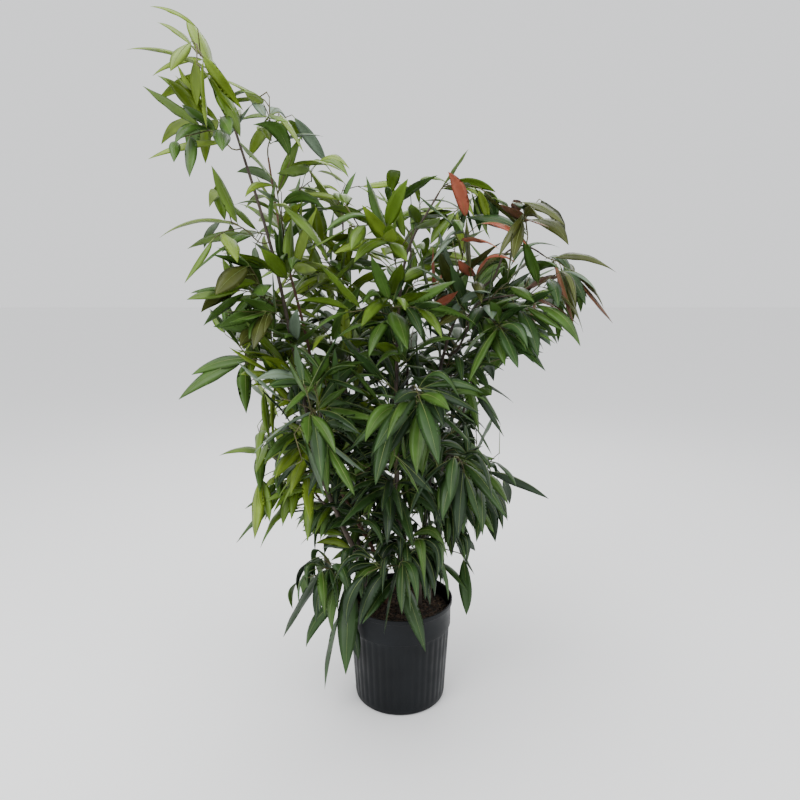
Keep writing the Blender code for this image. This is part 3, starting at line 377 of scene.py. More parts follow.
# Each mass: its limb and the place along it, the end of its leader, the leaf tips that it reaches,
# then how many leaves it has, their length, how far they hang (0 level, 1 straight down) and its spread.
MASSES = {
    "leaves_tall_tip": (
        "stem_tall", 1.0, (-0.59, -0.10, 2.09),
        ((-0.62, -0.02, 2.19), (-0.76, -0.14, 2.07), (-0.76, -0.03, 2.02), (-0.70, -0.10, 1.95)),
        8, 0.215, 0.3, 0.22,
    ),
    "leaves_tall_upper": (
        "stem_tall", 0.90, (-0.57, -0.13, 1.87),
        ((-0.72, -0.14, 1.78),),
        10, 0.215, 0.32, 0.23,
    ),
    "leaves_tall_left": (
        "stem_tall", 0.74, (-0.52, -0.13, 1.61),
        ((-0.70, -0.15, 1.56), (-0.65, -0.05, 1.53), (-0.50, -0.24, 1.52)),
        10, 0.215, 0.3, 0.23,
    ),
    "leaves_tall_right": (
        "stem_russet", 1.0, (-0.36, -0.02, 1.93),
        ((-0.23, -0.02, 1.86), (-0.43, 0.05, 1.90), (-0.28, -0.10, 1.80)),
        10, 0.205, 0.32, 0.21,
    ),
    "leaves_tall_inner": (
        "stem_russet", 0.84, (-0.36, -0.13, 1.72),
        ((-0.37, -0.20, 1.55), (-0.28, -0.15, 1.66)),
        10, 0.215, 0.38, 0.23,
    ),
    "leaves_tall_back": (
        "stem_russet", 0.80, (-0.40, 0.13, 1.66),
        ((-0.33, 0.18, 1.77), (-0.54, 0.20, 1.68), (-0.40, 0.30, 1.58)),
        10, 0.205, 0.32, 0.24,
    ),
    "leaves_tall_low": (
        "stem_tall", 0.63, (-0.50, -0.11, 1.41),
        ((-0.64, -0.12, 1.38), (-0.60, -0.10, 1.30), (-0.55, -0.05, 1.49)),
        10, 0.155, 0.3, 0.22,
    ),
    "leaves_left_mid": (
        "bough_left_mid", 1.0, (-0.49, -0.05, 1.18),
        ((-0.69, -0.10, 1.07), (-0.66, -0.05, 1.14), (-0.46, -0.20, 1.05)),
        10, 0.205, 0.3, 0.23,
    ),
    "leaves_left_low": (
        "bough_left_low", 1.0, (-0.46, -0.01, 0.88),
        ((-0.60, 0.00, 0.86), (-0.44, -0.14, 0.78)),
        10, 0.19, 0.38, 0.22,
    ),
    "leaves_left_lower": (
        "stem_left", 0.24, (-0.42, 0.06, 0.71),
        ((-0.57, 0.05, 0.53), (-0.55, 0.12, 0.63), (-0.40, 0.20, 0.60)),
        10, 0.205, 0.45, 0.23,
    ),
    "leaves_pot_left": (
        "stem_tall", 0.07, (-0.26, -0.08, 0.50),
        ((-0.40, -0.05, 0.23), (-0.25, -0.15, 0.10), (-0.17, -0.22, 0.20)),
        9, 0.23, 0.75, 0.27,
    ),
    "leaves_left_crown": (
        "stem_left", 1.0, (-0.23, 0.16, 1.70),
        ((-0.30, 0.10, 1.79), (-0.15, 0.20, 1.78), (-0.20, 0.30, 1.62)),
        10, 0.19, 0.3, 0.23,
    ),
    "leaves_left_upper": (
        "stem_left", 0.82, (-0.25, 0.03, 1.52),
        ((-0.32, -0.06, 1.40), (-0.14, -0.02, 1.58)),
        10, 0.205, 0.3, 0.22,
    ),
    "leaves_left_inner": (
        "stem_left", 0.55, (-0.22, -0.02, 1.25),
        ((-0.13, -0.10, 1.18), (-0.34, 0.05, 1.20)),
        11, 0.215, 0.32, 0.22,
    ),
    "leaves_left_front": (
        "bough_front_left", 1.0, (-0.25, -0.36, 1.08),
        ((-0.40, -0.42, 0.98), (-0.20, -0.52, 0.94), (-0.15, -0.38, 1.16)),
        10, 0.215, 0.32, 0.24,
    ),
    "leaves_centre_top": (
        "stem_centre", 1.0, (0.15, 0.02, 1.73),
        ((0.21, 0.02, 1.83), (0.05, -0.06, 1.72)),
        10, 0.19, 0.32, 0.22,
    ),
    "leaves_centre_upper": (
        "stem_centre", 0.80, (-0.06, -0.12, 1.60),
        ((-0.10, -0.08, 1.74), (-0.16, -0.18, 1.52), (0.02, -0.20, 1.50)),
        11, 0.215, 0.3, 0.23,
    ),
    "leaves_centre_front": (
        "stem_centre", 0.66, (-0.03, -0.20, 1.38),
        ((-0.18, -0.27, 1.28), (0.02, -0.36, 1.26), (0.14, -0.24, 1.36)),
        11, 0.215, 0.32, 0.23,
    ),
    "leaves_centre_low": (
        "stem_centre", 0.30, (-0.04, -0.19, 0.84),
        ((-0.18, -0.28, 0.72), (0.04, -0.30, 0.66), (-0.08, -0.34, 0.90)),
        11, 0.23, 0.45, 0.23,
    ),
    "leaves_pot_front": (
        "stem_centre", 0.09, (0.00, -0.17, 0.56),
        ((-0.05, -0.24, 0.35), (0.08, -0.24, 0.29), (-0.12, -0.26, 0.40)),
        9, 0.23, 0.8, 0.24,
    ),
    "leaves_red": (
        "stem_right", 0.90, (0.20, -0.08, 1.62),
        ((0.21, -0.14, 1.44), (0.31, -0.07, 1.55), (0.11, -0.12, 1.58)),
        10, 0.215, 0.32, 0.22,
    ),
    "leaves_arch_top": (
        "bough_arch", 0.72, (0.38, -0.05, 1.65),
        ((0.25, -0.05, 1.69), (0.49, -0.08, 1.57), (0.31, -0.11, 1.60)),
        8, 0.215, 0.32, 0.22,
    ),
    "leaves_arch_tip": (
        "bough_arch", 1.0, (0.51, -0.07, 1.47),
        ((0.65, -0.10, 1.46), (0.64, -0.13, 1.31), (0.56, -0.10, 1.28)),
        10, 0.205, 0.38, 0.22,
    ),
    "leaves_arch_under": (
        "bough_arch_low", 1.0, (0.41, -0.07, 1.39),
        ((0.55, -0.08, 1.30),),
        10, 0.215, 0.45, 0.22,
    ),
    "leaves_arch_low": (
        "bough_arch_low", 0.55, (0.32, -0.12, 1.28),
        ((0.45, -0.10, 1.16), (0.40, -0.18, 1.20), (0.30, -0.26, 1.20)),
        10, 0.215, 0.38, 0.22,
    ),
    "leaves_right_upper": (
        "stem_right", 0.66, (0.22, 0.12, 1.27),
        ((0.35, 0.12, 1.22), (0.24, 0.28, 1.20), (0.10, 0.14, 1.38)),
        10, 0.205, 0.32, 0.22,
    ),
    "leaves_right_mid": (
        "bough_right_mid", 1.0, (0.23, -0.02, 1.12),
        ((0.37, 0.00, 1.04), (0.34, -0.02, 0.93), (0.24, -0.16, 0.98)),
        10, 0.205, 0.38, 0.22,
    ),
    "leaves_right_low": (
        "bough_right_low", 1.0, (0.29, 0.02, 0.80),
        ((0.50, 0.00, 0.71), (0.32, 0.16, 0.74)),
        9, 0.215, 0.45, 0.22,
    ),
    "leaves_right_pot": (
        "stem_right", 0.12, (0.18, -0.05, 0.60),
        ((0.25, -0.05, 0.46), (0.22, -0.14, 0.44), (0.26, 0.06, 0.50)),
        10, 0.205, 0.75, 0.23,
    ),
    "leaves_front": (
        "bough_front", 1.0, (0.06, -0.33, 1.10),
        ((0.10, -0.50, 0.98), (-0.07, -0.46, 1.00), (0.22, -0.36, 1.08)),
        11, 0.215, 0.38, 0.23,
    ),
    "leaves_front_right": (
        "bough_front_right", 1.0, (0.19, -0.26, 0.88),
        ((0.30, -0.36, 0.78), (0.16, -0.42, 0.74), (0.10, -0.30, 0.86)),
        10, 0.215, 0.45, 0.23,
    ),
    "leaves_back_left_top": (
        "stem_back_left", 1.0, (-0.28, 0.38, 1.50),
        ((-0.42, 0.44, 1.44), (-0.24, 0.36, 1.68), (-0.20, 0.54, 1.42)),
        10, 0.215, 0.32, 0.24,
    ),
    "leaves_back_left_mid": (
        "stem_back_left", 0.62, (-0.34, 0.34, 1.16),
        ((-0.50, 0.36, 1.06), (-0.28, 0.52, 1.04)),
        10, 0.215, 0.38, 0.24,
    ),
    "leaves_back_left": (
        "bough_back_left", 1.0, (-0.36, 0.27, 0.92),
        ((-0.53, 0.30, 0.82), (-0.36, 0.42, 0.74)),
        10, 0.215, 0.45, 0.23,
    ),
    "leaves_back_top": (
        "stem_back", 1.0, (0.05, 0.38, 1.62),
        ((0.02, 0.54, 1.52), (-0.08, 0.32, 1.74), (0.16, 0.34, 1.72)),
        10, 0.215, 0.32, 0.24,
    ),
    "leaves_back_mid": (
        "stem_back", 0.66, (0.05, 0.42, 1.24),
        ((0.04, 0.60, 1.10), (-0.10, 0.48, 1.18), (0.20, 0.44, 1.22)),
        10, 0.215, 0.38, 0.24,
    ),
    "leaves_back_low": (
        "stem_back", 0.30, (0.03, 0.34, 0.80),
        ((0.04, 0.48, 0.62), (-0.14, 0.40, 0.70)),
        10, 0.215, 0.55, 0.24,
    ),
    "leaves_back_right_top": (
        "stem_back_right", 1.0, (0.36, 0.28, 1.36),
        ((0.52, 0.30, 1.30), (0.32, 0.44, 1.32), (0.30, 0.22, 1.52)),
        10, 0.215, 0.32, 0.24,
    ),
    "leaves_back_right_mid": (
        "bough_back_right", 1.0, (0.30, 0.32, 0.80),
        ((0.40, 0.34, 0.68), (0.26, 0.48, 0.66), (0.34, 0.22, 0.96)),
        10, 0.215, 0.38, 0.24,
    ),
}

UP = Vector((0, 0, 1))


def as_mesh(obj):
    """Replaces a curve, or an object with modifiers, by its finished mesh with the ends welded."""
    graph = bpy.context.evaluated_depsgraph_get()
    mesh = bpy.data.meshes.new_from_object(obj.evaluated_get(graph))
    work = bmesh.new()
    work.from_mesh(mesh)
    bmesh.ops.remove_doubles(work, verts=work.verts, dist=1e-6)
    bmesh.ops.recalc_face_normals(work, faces=work.faces)
    work.to_mesh(mesh)
    work.free()
    name, material, collection = obj.name, obj.data.materials[0], obj.users_collection[0]
    bpy.data.objects.remove(obj, do_unlink=True)
    mesh.name = name
    if not mesh.materials:
        mesh.materials.append(material)
    solid = bpy.data.objects.new(name, mesh)
    collection.objects.link(solid)
    return solid


def smooth_path(points, heading, steps):
    """Points on a curve that leaves the first point along heading and passes through the rest."""
    tangents = [heading]
    for before, after in zip(points, points[2:]):
        tangents.append((after - before).normalized())
    tangents.append((points[-1] - points[-2]).normalized())
    path = [points[0]]
    for i in range(len(points) - 1):
        start, end = points[i], points[i + 1]
        third = (end - start).length / 3
        run = interpolate_bezier(
            start, start + tangents[i] * third, end - tangents[i + 1] * third, end, steps + 1
        )
        path += run[1:]
    return path


def lengths_along(path):
    """The distance from the path's start to each of its points."""
    along = [0.0]
    for before, after in zip(path, path[1:]):
        along.append(along[-1] + (after - before).length)
    return along


def place_on(path, share):
    """The point at a share of the path's length, and the path's direction there."""
    along = lengths_along(path)
    wanted = share * along[-1]
    for i in range(len(path) - 1):
        if wanted <= along[i + 1] or i == len(path) - 2:
            step = path[i + 1] - path[i]
            return path[i] + step * ((wanted - along[i]) / step.length), step.normalized()


def tree_of(solid):
    return BVHTree.FromPolygons(solid[0], solid[1])


def tree_of_object(obj):
    mesh = obj.data
    return BVHTree.FromPolygons(
        [v.co.copy() for v in mesh.vertices], [tuple(p.vertices) for p in mesh.polygons]
    )


def start_on(limb, share, target):
    """Where a branch leaves a limb, a hair clear of the limb's surface, and its first direction."""
    point, tangent = place_on(limb["path"], share)
    if share >= 1:
        return point + tangent * GAP, tangent
    away = target - point
    away = (away - tangent * away.dot(tangent)).normalized()
    found, normal, _, _ = limb["tree"].ray_cast(point + away * OUTSIDE, -away, OUTSIDE)
    return found + normal * GAP, normal


def limb_object(name, path, radii, bevel_steps, material, collection):
    """A tapering limb: a curve with a round section, then closed as a mesh."""
    curve = bpy.data.curves.new(name, "CURVE")
    curve.dimensions = "3D"
    curve.bevel_depth = 1.0
    curve.bevel_resolution = bevel_steps
    curve.use_fill_caps = True
    curve.materials.append(material)
    spline = curve.splines.new("POLY")
    spline.points.add(len(path) - 1)
    for point, place, radius in zip(spline.points, path, radii):
        point.co = (*place, 1)
        point.radius = radius
    obj = bpy.data.objects.new(name, curve)
    collection.objects.link(obj)
    return as_mesh(obj)


def make_limb(name, start, heading, way, radii, flare, steps, material, collection):
    """One limb from a flat foot: straight off for a moment, then through its way points."""
    path_steps, bevel_steps = steps
    bend = start + heading * FIRST_RUN
    path = [start] + smooth_path([bend] + [Vector(p) for p in way], heading, path_steps)
    along = lengths_along(path)
    foot, tip = radii
    widths = [
        foot + (tip - foot) * s / along[-1] + flare * math.exp(-s / FLARE_LENGTH) for s in along
    ]
    obj = limb_object(name, path, widths, bevel_steps, material, collection)
    return {"name": name, "path": path, "tree": tree_of_object(obj), "object": obj}


def make_limbs(bark, collection):
    limbs = {}
    for name, (foot, way, *radii) in STEMS.items():
        start = Vector((*foot, SOIL_TOP + GAP))
        steps = (STEM_STEPS, STEM_BEVEL_STEPS)
        limbs[name] = make_limb(name, start, UP, way, radii, STEM_FLARE, steps, bark, collection)
    for name, (parent, share, way, *radii) in BOUGHS.items():
        start, heading = start_on(limbs[parent], share, Vector(way[0]))
        steps = (BOUGH_STEPS, BOUGH_BEVEL_STEPS)
        limbs[name] = make_limb(name, start, heading, way, radii, 0, steps, bark, collection)
    return limbs


def across(direction):
    """A direction square to the given one."""
    helper = UP if abs(direction.z) < 0.9 else Vector((1, 0, 0))
    return direction.cross(helper).normalized()


def twig_solid(path, radii):
    """A three-sided tapering twig with flat ends, as points and triangles."""
    points, faces = [], []
    side = across((path[1] - path[0]).normalized())
    for i, place in enumerate(path):
        tangent = (path[min(i + 1, len(path) - 1)] - path[max(i - 1, 0)]).normalized()
        if i == 0:
            tangent = (path[1] - path[0]).normalized()
        side = (side - tangent * side.dot(tangent)).normalized()
        other = tangent.cross(side)
        for k in range(3):
            angle = math.tau * k / 3
            points.append(place + (side * math.cos(angle) + other * math.sin(angle)) * radii[i])
    for i in range(len(path) - 1):
        for k in range(3):
            a, b = 3 * i + k, 3 * i + (k + 1) % 3
            faces += [(a, b, b + 3), (a, b + 3, a + 3)]
    last = len(points) - 3
    faces += [(2, 1, 0), (last, last + 1, last + 2)]
    return points, faces


def leaf_solid(leaf, grow=0.0):
    """A leaf of eight faces: root, four points at its widest place, and tip."""
    base, middle, tip, side = leaf["base"], leaf["middle"], leaf["tip"], leaf["side"]
    along = (tip - base).normalized()
    normal = side.cross(along).normalized()
    half_width = leaf["length"] * LEAF_WIDTH / 2 + grow
    half_thickness = leaf["length"] * LEAF_THICKNESS / 2 + grow
    ring = [
        middle + side * half_width,
        middle + normal * half_thickness,
        middle - side * half_width,
        middle - normal * half_thickness,
    ]
    points = [base, *ring, tip + along * grow]
    faces = []
    for k in range(4):
        a, b = 1 + k, 1 + (k + 1) % 4
        faces += [(0, a, b), (5, b, a)]
    return points, faces


def leaf_shape(base, middle, tip, roll):
    """A leaf whose blade faces up as far as its direction lets it, turned by roll about its length."""
    along = (tip - base).normalized()
    side = Matrix.Rotation(roll, 3, along) @ across(along)
    return {"base": base, "middle": middle, "tip": tip, "side": side, "length": (tip - base).length}


def in_crown(point):
    """Whether a point lies within the crown's reach at its height, in a rounded section."""
    rows = CROWN_REACH
    if not rows[0][0] <= point.z < rows[-1][0]:
        return False
    below, above = next((a, b) for a, b in zip(rows, rows[1:]) if point.z < b[0])
    share = (point.z - below[0]) / (above[0] - below[0])
    left, right, depth = (a + (b - a) * share for a, b in zip(below[1:], above[1:]))
    sideways = abs(point.x - (left + right) / 2) / ((right - left) / 2)
    return sideways**CROWN_ROUNDNESS + abs(point.y / depth) ** CROWN_ROUNDNESS <= 1


def cells_of(points):
    """The cells of the search grid that the box of some points meets."""
    low = [math.floor(min(p[i] for p in points) / GRID_CELL) for i in range(3)]
    high = [math.floor(max(p[i] for p in points) / GRID_CELL) for i in range(3)]
    return itertools.product(*(range(a, b + 1) for a, b in zip(low, high)))


class Crown:
    """All twigs and leaves, each set down only where it touches nothing."""

    def __init__(self, limbs, others):
        self.limbs = limbs
        self.cells = {}
        self.masses = {}
        for obj in [limb["object"] for limb in limbs.values()] + others:
            self.take_space({"tree": tree_of_object(obj)}, [v.co for v in obj.data.vertices])

    def take_space(self, piece, points):
        for cell in cells_of(points):
            self.cells.setdefault(cell, []).append(piece)

    def is_free(self, solid, host=None):
        """Whether a solid touches nothing but its host."""
        tree = tree_of(solid)
        for cell in cells_of(solid[0]):
            for piece in self.cells.get(cell, ()):
                if piece is not host and tree.overlap(piece["tree"]):
                    return False
        return True

    def keep(self, mass, solid, path=None):
        piece = {"tree": tree_of(solid), "solid": solid, "path": path}
        self.take_space(piece, solid[0])
        mass["pieces"].append(piece)
        return piece

    def start_mass(self, name, row):
        """Sets out a mass and its leader, which bows up on its way from the limb."""
        parent, share, end, tips, count, leaf_length, hang, spread = row
        end = Vector(end)
        start, heading = start_on(self.limbs[parent], share, end)
        first = start + heading * FIRST_RUN
        half_way = (first + end) / 2 + UP * LEADER_ARCH * (end - first).length
        steps = 1 + int((end - first).length / LEADER_STEP)
        path = [start] + smooth_path([first, half_way, end], heading, steps)
        mass = {
            "name": name,
            "random": random.Random(name),
            "tips": [Vector(tip) for tip in tips],
            "count": count,
            "leaf": leaf_length,
            "hang": hang,
            "spread": spread,
            "line": [place_on(path, k / (LINE_POINTS - 1))[0] for k in range(LINE_POINTS)],
            "pieces": [],
            "leaves": [],
        }
        mass["leader"] = self.keep(mass, twig_solid(path, taper(path, LEADER_RADIUS)), path)
        mass["hosts"] = [mass["leader"]]
        self.masses[name] = mass

    def add_twig(self, mass, host, share, direction, length):
        """A side twig that bends down a little towards its end, or nothing where it would touch."""
        root, _ = place_on(host["path"], share)
        middle = root + direction * length / 2
        end = middle + (direction - UP * TWIG_BEND).normalized() * length / 2
        path = [root - direction * TWIG_SINK, middle, end]
        if not self.is_free(twig_solid(path, taper(path, TWIG_RADIUS + TOUCH_GAP)), host):
            return None
        twig = self.keep(mass, twig_solid(path, taper(path, TWIG_RADIUS)), path)
        mass["hosts"].append(twig)
        return twig

    def add_leaf(self, mass, host, leaf):
        lowest = min(leaf["middle"].z, leaf["tip"].z)
        if lowest < LOWEST_LEAF or not self.is_free(leaf_solid(leaf, TOUCH_GAP), host):
            return False
        self.keep(mass, leaf_solid(leaf))
        mass["leaves"].append(leaf)
        return True

    def reach_tips(self, mass):
        """The outermost leaves, each from the leader, or from a twig towards it, to its own tip."""
        rng = mass["random"]
        for tip in mass["tips"]:
            for attempt in range(TRIES):
                wanted = mass["leaf"] * (TIP_REACH - TIP_REACH_STEP * attempt)
                tip = tip + Vector([rng.uniform(-1, 1) for _ in range(3)]) * TIP_SHIFT * attempt
                host = mass["leader"]
                share = self.nearest_share(host["path"], tip, wanted, attempt)
                root, _ = place_on(host["path"], share)
                if (tip - root).length > TIP_TWIG_FROM * mass["leaf"]:
                    direction = ((tip - root).normalized() + UP * TIP_TWIG_RISE).normalized()
                    host = self.add_twig(mass, host, share, direction, (tip - root).length - wanted)
                    if not host:
                        continue
                    root, _ = place_on(host["path"], END_LEAF_AT)
                if self.add_leaf(mass, host, tip_leaf(root, tip, rng)):
                    break

    @staticmethod
    def nearest_share(path, tip, wanted, attempt):
        """The place on a leader whose distance to the tip is nearest to a leaf's length."""
        places = 4 * LINE_POINTS
        shares = [BARE_LEADER + (1 - BARE_LEADER) * k / places for k in range(places)]
        shares.sort(key=lambda s: abs((place_on(path, s)[0] - tip).length - wanted))
        return shares[attempt]

    def inside(self, mass, point):
        """Whether a point is near the mass's leader, and no other leader is much nearer to it."""
        own = min((point - p).length for p in mass["line"])
        if own > mass["spread"]:
            return False
        for other in self.masses.values():
            if other is not mass and min((point - p).length for p in other["line"]) < own - TRESPASS:
                return False
        return True

    def fits(self, mass, leaf):
        """Whether a leaf keeps to its mass's space and to the crown."""
        middle, tip = leaf["middle"], leaf["tip"]
        return in_crown(tip) and self.inside(mass, middle) and self.inside(mass, (middle + tip) / 2)

    def fill(self, mass):
        """Side twigs by the golden angle, then leaves from the twigs' ends back towards the leader."""
        rng = mass["random"]
        leader = mass["leader"]
        turn = rng.uniform(0, math.tau)
        twig_count = 1 + mass["count"] // LEAVES_PER_TWIG
        for k in range(twig_count):
            share = FIRST_TWIG + TWIG_RUN * (k + 0.5) / twig_count
            _, tangent = place_on(leader["path"], share)
            for _ in range(TRIES):
                turn += GOLDEN_ANGLE
                out = turned(tangent, turn)
                direction = (tangent * TWIG_FORWARD + out * TWIG_OUTWARD + UP * TWIG_RISE).normalized()
                length = mass["spread"] * rng.uniform(SHORTEST_TWIG, LONGEST_TWIG)
                if self.add_twig(mass, leader, share, direction, length):
                    break
        places = []
        for row in range(LEAF_ROWS):
            for host in mass["hosts"]:
                share = END_LEAF_AT - row * LEAF_SPACING / lengths_along(host["path"])[-1]
                if share > (BARE_LEADER if host is leader else BARE_TWIG):
                    places.append((host, share, END_OPENING if row == 0 else SIDE_OPENING))
        for host, share, opening in places:
            if len(mass["leaves"]) >= mass["count"]:
                break
            root, tangent = place_on(host["path"], share)
            for attempt in range(TRIES):
                turn += GOLDEN_ANGLE
                heading = tangent * math.cos(opening) + turned(tangent, turn) * math.sin(opening)
                leaf = hanging_leaf(root, heading, mass, rng, 1 - RETRY_SHRINK * attempt)
                if self.fits(mass, leaf) and self.add_leaf(mass, host, leaf):
                    break


def turned(direction, angle):
    """A direction square to the given one, at an angle round it."""
    return Matrix.Rotation(angle, 3, direction) @ across(direction)


def taper(path, radius):
    last = len(path) - 1
    return [radius * (1 + (TWIG_TAPER - 1) * i / last) for i in range(len(path))]


def hanging_leaf(root, heading, mass, rng, scale):
    """A leaf that sets out along heading and bends down under its own weight."""
    length = mass["leaf"] * scale * rng.uniform(SMALLEST_LEAF, LARGEST_LEAF)
    hang = mass["hang"] + rng.uniform(-HANG_VARIETY, HANG_VARIETY)
    hang = min(max(hang, LEAST_HANG), MOST_HANG)
    first = (heading - UP * FIRST_HANG * hang).normalized()
    then = (heading * (1 - hang) - UP * hang).normalized()
    middle = root + first * length * WIDEST_AT
    tip = middle + then * length * (1 - WIDEST_AT)
    return leaf_shape(root - first * LEAF_SINK, middle, tip, rng.uniform(-LEAF_ROLL, LEAF_ROLL))


def tip_leaf(root, tip, rng):
    """A leaf from its root to a given tip, bowed up the more the more level it lies."""
    chord = tip - root
    level = 1 - abs(chord.normalized().z)
    bow = (STEEP_BOW + LEVEL_BOW * level) * rng.uniform(LEAST_BOW, MOST_BOW)
    middle = root + chord * WIDEST_AT + UP * bow * chord.length
    base = root - (middle - root).normalized() * LEAF_SINK
    return leaf_shape(base, middle, tip, rng.uniform(-TIP_ROLL, TIP_ROLL))


def grow_crown(limbs, others):
    crown = Crown(limbs, others)
    for name, row in MASSES.items():
        crown.start_mass(name, row)
    for mass in crown.masses.values():
        crown.reach_tips(mass)
    for mass in crown.masses.values():
        crown.fill(mass)
    return crown


def sideways(tangent, rng):
    """A random direction square to the given one."""
    return turned(tangent, rng.uniform(0, math.tau))


def clear_of_limbs(crown, solid):
    """Whether a solid touches no stem or bough, nor the pot or the soil."""
    tree = tree_of(solid)
    for cell in cells_of(solid[0]):
        for piece in crown.cells.get(cell, ()):
            if "solid" not in piece and tree.overlap(piece["tree"]):
                return False
    return True


def add_soft_leaf(crown, mass, host, leaf):
    """Adds a leaf whose edges may brush against other leaves, as blades do, but not its middle."""
    core = leaf_solid(dict(leaf, length=leaf["length"] * CORE_SHARE))
    lowest = min(leaf["middle"].z, leaf["tip"].z)
    if lowest < LOWEST_LEAF or not crown.is_free(core, host) or not clear_of_limbs(crown, leaf_solid(leaf)):
        return False
    crown.keep(mass, core)
    mass["leaves"].append(leaf)
    return True


def well_inside(point):
    """Whether a point keeps clear of the crown's edge, past which only the first leaves stand out."""
    return all(in_crown(point + step) for step in EDGE_STEPS)


def grow_more(crown, mass, rng, hosts, wanted, inner=False):
    """Sets more leaves on some hosts, each in the mass's space."""
    got = 0
    for _ in range(wanted * EXTRA_TRIES):
        if got == wanted:
            break
        host = hosts[rng.randrange(len(hosts))]
        root, tangent = place_on(host["path"], rng.uniform(FIRST_EXTRA, END_LEAF_AT))
        opening = rng.uniform(END_OPENING, 1.2 * SIDE_OPENING)
        heading = tangent * math.cos(opening) + sideways(tangent, rng) * math.sin(opening)
        leaf = hanging_leaf(root, heading, mass, rng, rng.uniform(0.7, 1.0))
        # Inner leaves later take the painted shade of the inner palette.
        leaf["inner"] = inner
        if well_inside(leaf["tip"]) and crown.fits(mass, leaf) and add_soft_leaf(crown, mass, host, leaf):
            got += 1


def add_fine_growth(crown, mass):
    """Carries the mass's twigs on to finer ones, with more leaves, inside its own space."""
    rng = random.Random("fine " + mass["name"])
    sparse = mass["name"] in SPRAYS
    grown = 0
    for _ in range(FINE_TWIGS * TRIES):
        host = mass["hosts"][rng.randrange(len(mass["hosts"]))]
        share = rng.uniform(0.3, 0.9)
        root, tangent = place_on(host["path"], share)
        direction = (tangent * TWIG_FORWARD + sideways(tangent, rng) * TWIG_OUTWARD + UP * TWIG_RISE).normalized()
        length = mass["spread"] * rng.uniform(0.3, 0.6)
        if in_crown(root + direction * length) and crown.add_twig(mass, host, share, direction, length):
            grown += 1
        if grown == FINE_TWIGS:
            break
    grow_more(crown, mass, rng, mass["hosts"], SPRAY_LEAVES if sparse else EXTRA_LEAVES)


def nearest_mass(crown, point):
    return min(crown.masses.values(), key=lambda mass: min((point - p).length for p in mass["line"]))


def add_shoots(crown):
    """Short leafy shoots all along the stems and boughs, each counted to the mass that it is nearest to."""
    for name, limb in crown.limbs.items():
        rng = random.Random("shoots " + name)
        total = lengths_along(limb["path"])[-1]
        away = SHOOTS_FROM if name in STEMS else SHOOT_STEP
        while away < total:
            share = away / total
            away += SHOOT_STEP * rng.uniform(0.7, 1.3)
            point, tangent = place_on(limb["path"], share)
            if point.z > SHOOTS_TO:
                break
            for _ in range(TRIES):
                out = sideways(tangent, rng)
                start, heading = start_on(limb, min(share, 0.999), point + out)
                length = rng.uniform(SHORTEST_SHOOT, LONGEST_SHOOT)
                direction = (heading * 0.8 + tangent * 0.45).normalized()
                bend = start + heading * SHOOT_BEND
                end = bend + direction * length
                mass = nearest_mass(crown, end)
                path = [start, bend, bend + direction * length / 2, end - UP * 0.1 * length]
                solid = twig_solid(path, [0.8 * r for r in taper(path, TWIG_RADIUS)])
                if in_crown(end) and crown.is_free(solid):
                    shoot = crown.keep(mass, solid, path)
                    mass["hosts"].append(shoot)
                    leafy = dict(mass, spread=mass["spread"] + SHOOT_SPREAD)
                    grow_more(crown, leafy, rng, [shoot], SHOOT_LEAVES, inner=True)
                    break


class Pile:
    """Points and faces gathered into one mesh."""

    def __init__(self):
        self.points = []
        self.faces = []
        self.ends = []

    def add(self, points, faces):
        start = len(self.points)
        self.points += points
        self.faces += [tuple(start + i for i in face) for face in faces]
        self.ends.append((len(self.points), len(self.faces)))

    def parts(self):
        """The same bodies shared out over piles small enough for one mesh each."""
        piles, first_point, first_face = [], 0, 0
        for i, (points, faces) in enumerate(self.ends):
            if i == len(self.ends) - 1 or self.ends[i + 1][1] - first_face > LARGEST_PIECE:
                pile = Pile()
                moved = [tuple(k - first_point for k in face) for face in self.faces[first_face:faces]]
                pile.add(self.points[first_point:points], moved)
                piles.append(pile)
                first_point, first_face = points, faces
        return piles

    def object(self, name, material, smooth=True):
        mesh = bpy.data.meshes.new(name)
        mesh.from_pydata([tuple(p) for p in self.points], [], self.faces)
        mesh.materials.append(material)
        mesh.polygons.foreach_set("use_smooth", [smooth] * len(mesh.polygons))
        mesh.update()
        obj = bpy.data.objects.new(name, mesh)
        bpy.context.scene.collection.objects.link(obj)
        return obj


def tube(points, radii, sides, pile, wobble=None):
    """A round tube with flat ends along a path; wobble changes the radius from place to place."""
    ring_points, faces = [], []
    side = across((points[1] - points[0]).normalized())
    last = len(points) - 1
    for i, place in enumerate(points):
        tangent = (points[min(i + 1, last)] - points[max(i - 1, 0)]).normalized()
        side = (side - tangent * side.dot(tangent)).normalized()
        other = tangent.cross(side)
        for k in range(sides):
            angle = math.tau * k / sides
            out = side * math.cos(angle) + other * math.sin(angle)
            radius = radii[i] if wobble is None else radii[i] * wobble(place, out, i)
            ring_points.append(place + out * radius)
    for i in range(last):
        for k in range(sides):
            a, b = i * sides + k, i * sides + (k + 1) % sides
            faces.append((a, b, b + sides, a + sides))
    faces.append(tuple(reversed(range(sides))))
    faces.append(tuple(last * sides + k for k in range(sides)))
    pile.add(ring_points, faces)


